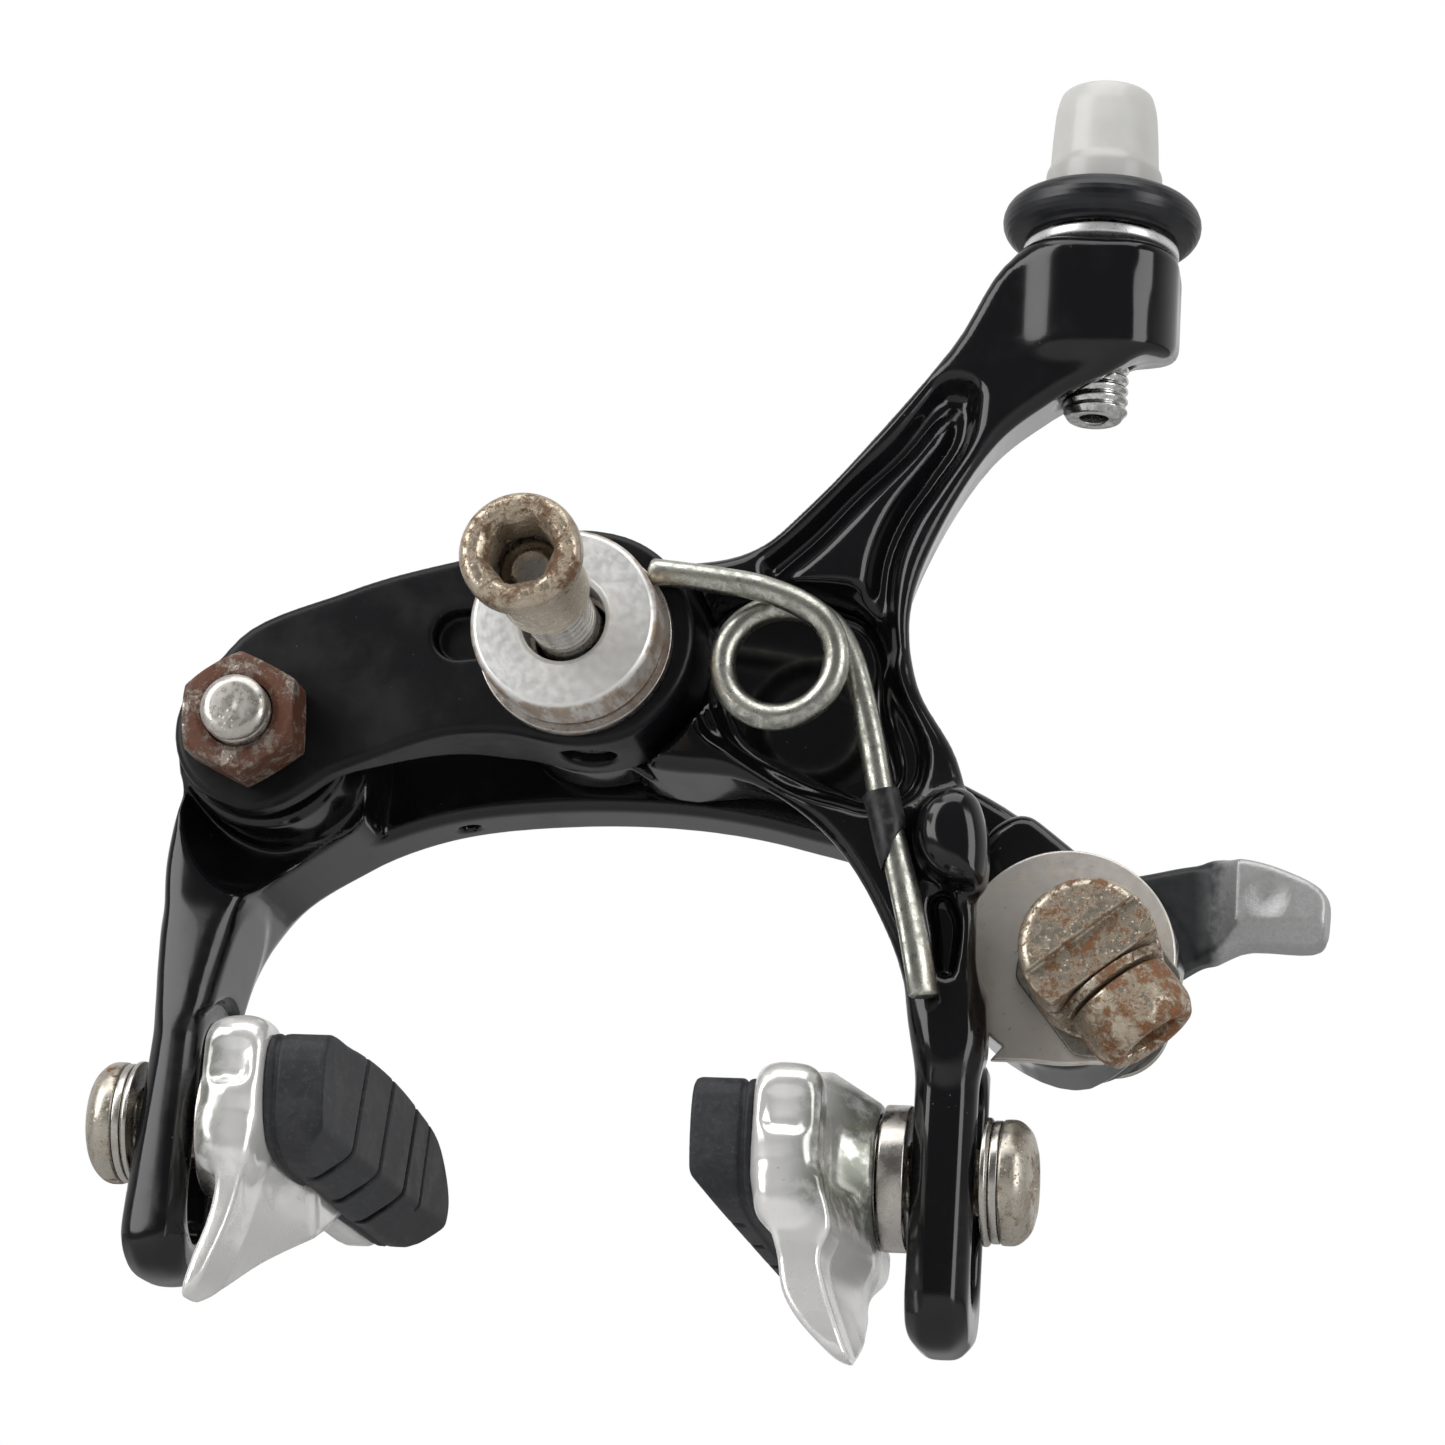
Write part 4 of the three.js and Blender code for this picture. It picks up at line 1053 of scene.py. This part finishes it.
show("arm_a", arm_a(), gloss)
spring = return_spring()
show("return_spring", spring, zinc_plate("spring_zinc", (0.52, 0.52, 0.465), 0.32, 0.45))
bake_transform(spring)
show("spring_sleeve", spring_sleeve(), black_plastic())
show("adjuster_barrel", on_z([
    (1.3, 24.6, 0.1), (1.7, 24.42, 0.1), (2.35, 24.42, 0.2), (M6, 25.1, 0.1, "thread"),
    (M6, 32, 0.1), (M6, 40.8, 0.1), (M6, 41.2, 0.1), (4.5, 41.2, 0.2), (4.5, 44.35, 0.3),
    (1.6, 44.35, 0.2), (1.3, 44.1, 0.1)]),
    zinc_plate("barrel_zinc", (0.74, 0.74, 0.72), 0.22, 0.25))
show("adjuster_washer", on_z(ring(BORE, 7.08, 39.92, 40.88, 0.25), sides=128),
     turned_metal("bright_ring", (0.86, 0.86, 0.86), (0.4, 0.38, 0.34), 0.3, ("Z", *BARREL), 0.15, 0.1, 0.6))
torus = [(7 + 2.03 * math.cos(a), 43.3 + 2.03 * math.sin(a), 0.0)
         for a in np.linspace(0, 2 * math.pi, 28)[:-1]]
show("adjuster_o_ring", on_z(torus, sides=128), o_ring_rubber())
show("cable_ferrule", on_z([
    (1.3, 44.75, 0.1), (4.6, 44.72, 0.4), (5.3, 45.6, 0.6), (5.3, 48.1, 0.5), (4.95, 48.8, 0.5),
    (4.82, 51.6, 1.5), (4.6, 54.4, 1.2), (4.15, 55.95, 0.9), (3.2, 56.28, 0.5), (2.55, 56.25, 0.2),
    (2.5, 47.5, 0.2), (1.3, 47.5, 0.1)], sides=128), frosted_plastic())

show("arm_b", arm_b(), gloss)
show("quick_release_washer", quick_release_washer(),
     turned_metal("fork_washer_steel", (0.84, 0.79, 0.73), (0.46, 0.31, 0.13), 0.34, ("Y", *HUB), 0.34, 0.05,
                  0.55))
show("quick_release_lever", quick_release_lever(), cast_lever())
anchor_rust = rusty_steel("anchor_steel", 0.52, (0.6, 0.53, 0.43), (0.23, 0.098, 0.036), 0.5)
show("anchor_post", anchor_post(), anchor_rust)
show("anchor_seat_washer", anchor_seat_washer(), zinc_plate("seat_steel", (0.38, 0.36, 0.32), 0.4, 0.6))
show("anchor_clip", on_y(ring(BORE, 5.18, 34.72, 35.58, 0.15), POST),
     plain_steel("clip_steel", POST, 0.4))
show("cable_clamp_washer", on_clamp(ring(2.7, 4.95, 2.52, 3.38, 0.15)), anchor_rust)
show("cable_clamp_screw", on_clamp([
    (0, -3.15), (2.0, -3.15, 0.3), (2.38, -2.8, 0.2, "thread"), (2.38, 3.0, 0.1), (2.38, 3.72, 0.1),
    (4.75, 3.72, 0.3), (4.78, 7.6, 0.7), (4.0, 8.95, 0.5), (3.25, 8.95, 0.2), (2.5, 8.5, 0.1, "socket"),
    (2.5, 6.1, 0.1, "socket"), (0, 5.7)], pitch=0.8, sides=120),
    rusty_steel("clamp_screw_steel", 0.62, (0.66, 0.58, 0.46), (0.26, 0.1, 0.034), 0.6))

for side_name, (side, inner, outer, stud_z) in SHOES.items():
    show(f"{side_name}_shoe_holder", shoe_holder(side, inner, stud_z), polished)
    show(f"{side_name}_rubber_pad", rubber_pad(side, inner, stud_z), rubber)
    washer = turned_metal(f"{side_name}_washer_steel", (0.62, 0.59, 0.55), (0.3, 0.22, 0.15), 0.26,
                          ("X", SLOT_Y, stud_z), 0.35)
    for part_name, piece in shoe_stack(side, inner, outer, stud_z).items():
        show(f"{side_name}_{part_name}", piece, bolt_zinc if part_name == "shoe_bolt" else washer)


# ---- Floor, light and camera ----
def stage_material():
    m = Look("pale_floor", (0.82, 0.82, 0.82), 0.9)
    m.set("Base Color", m.mix(m.noise(400.0, 3.0), (0.47, 0.47, 0.475), (0.51, 0.51, 0.51)))
    return m.material


bpy.ops.mesh.primitive_plane_add(size=6.0, location=(0, 0, -0.14))
floor = bpy.context.object
floor.name = "floor"
floor.data.materials.append(stage_material())

scene = bpy.context.scene
scene.view_settings.view_transform = "Standard"
world = bpy.data.worlds.new("studio")
scene.world = world
world.use_nodes = True
sky = Nodes(world.node_tree, "Generated")
fade = sky.ramp(sky.along("Y"), -0.45, 0.6, 0.11, 0.68)
seen = sky.add("ShaderNodeLightPath", {}).outputs["Is Camera Ray"]
background = world.node_tree.nodes["Background"]
sky.feed(background.inputs["Strength"], sky.blend(seen, fade, 1.0))
sky.feed(background.inputs["Color"], (1, 1, 1, 1))

centre = Vector((0.012, 0.01, -0.01))


def softbox(name, direction, distance, width, height, power):
    """A rectangular light that faces the caliper."""
    data = bpy.data.lights.new(name, "AREA")
    data.shape = "RECTANGLE"
    data.size, data.size_y = width, height
    data.energy = power
    lamp = bpy.data.objects.new(name, data)
    scene.collection.objects.link(lamp)
    direction = Vector(direction).normalized()
    lamp.location = centre + direction * distance
    lamp.rotation_mode = "QUATERNION"
    lamp.rotation_quaternion = direction.to_track_quat("Z", "Y")


softbox("key_left", (-0.75, -0.62, 0.42), 0.66, 0.42, 0.6, 2.9)
softbox("top", (0.05, -0.4, 1.0), 0.66, 0.7, 0.5, 2.5)
softbox("fill_right", (0.9, -0.5, 0.15), 0.65, 0.3, 0.55, 1.7)
softbox("low_front", (0.25, -0.8, -0.6), 0.6, 0.5, 0.25, 0.9)

# Solved from the photograph: angles in degrees, then metres
azimuth, elevation, roll = (math.radians(a) for a in (10.21, -15.976, 3.809))
target, distance = Vector((0.01473, 0, -0.00918)), 0.37475
level_back = math.cos(elevation)
back = Vector((math.sin(azimuth) * level_back, -math.cos(azimuth) * level_back, math.sin(elevation)))
right = (-back).cross(Vector((0, 0, 1))).normalized()
up = right.cross(-back)
across = right * math.cos(roll) + up * math.sin(roll)
upward = -right * math.sin(roll) + up * math.cos(roll)
camera = bpy.data.objects.new("camera", bpy.data.cameras.new("camera"))
scene.collection.objects.link(camera)
camera.data.lens = 109.06
camera.data.sensor_width = 36
camera.data.clip_start, camera.data.clip_end = 0.01, 20
turn = Matrix((across, upward, back)).transposed().to_4x4()
camera.matrix_world = Matrix.Translation(target + back * distance) @ turn
scene.camera = camera
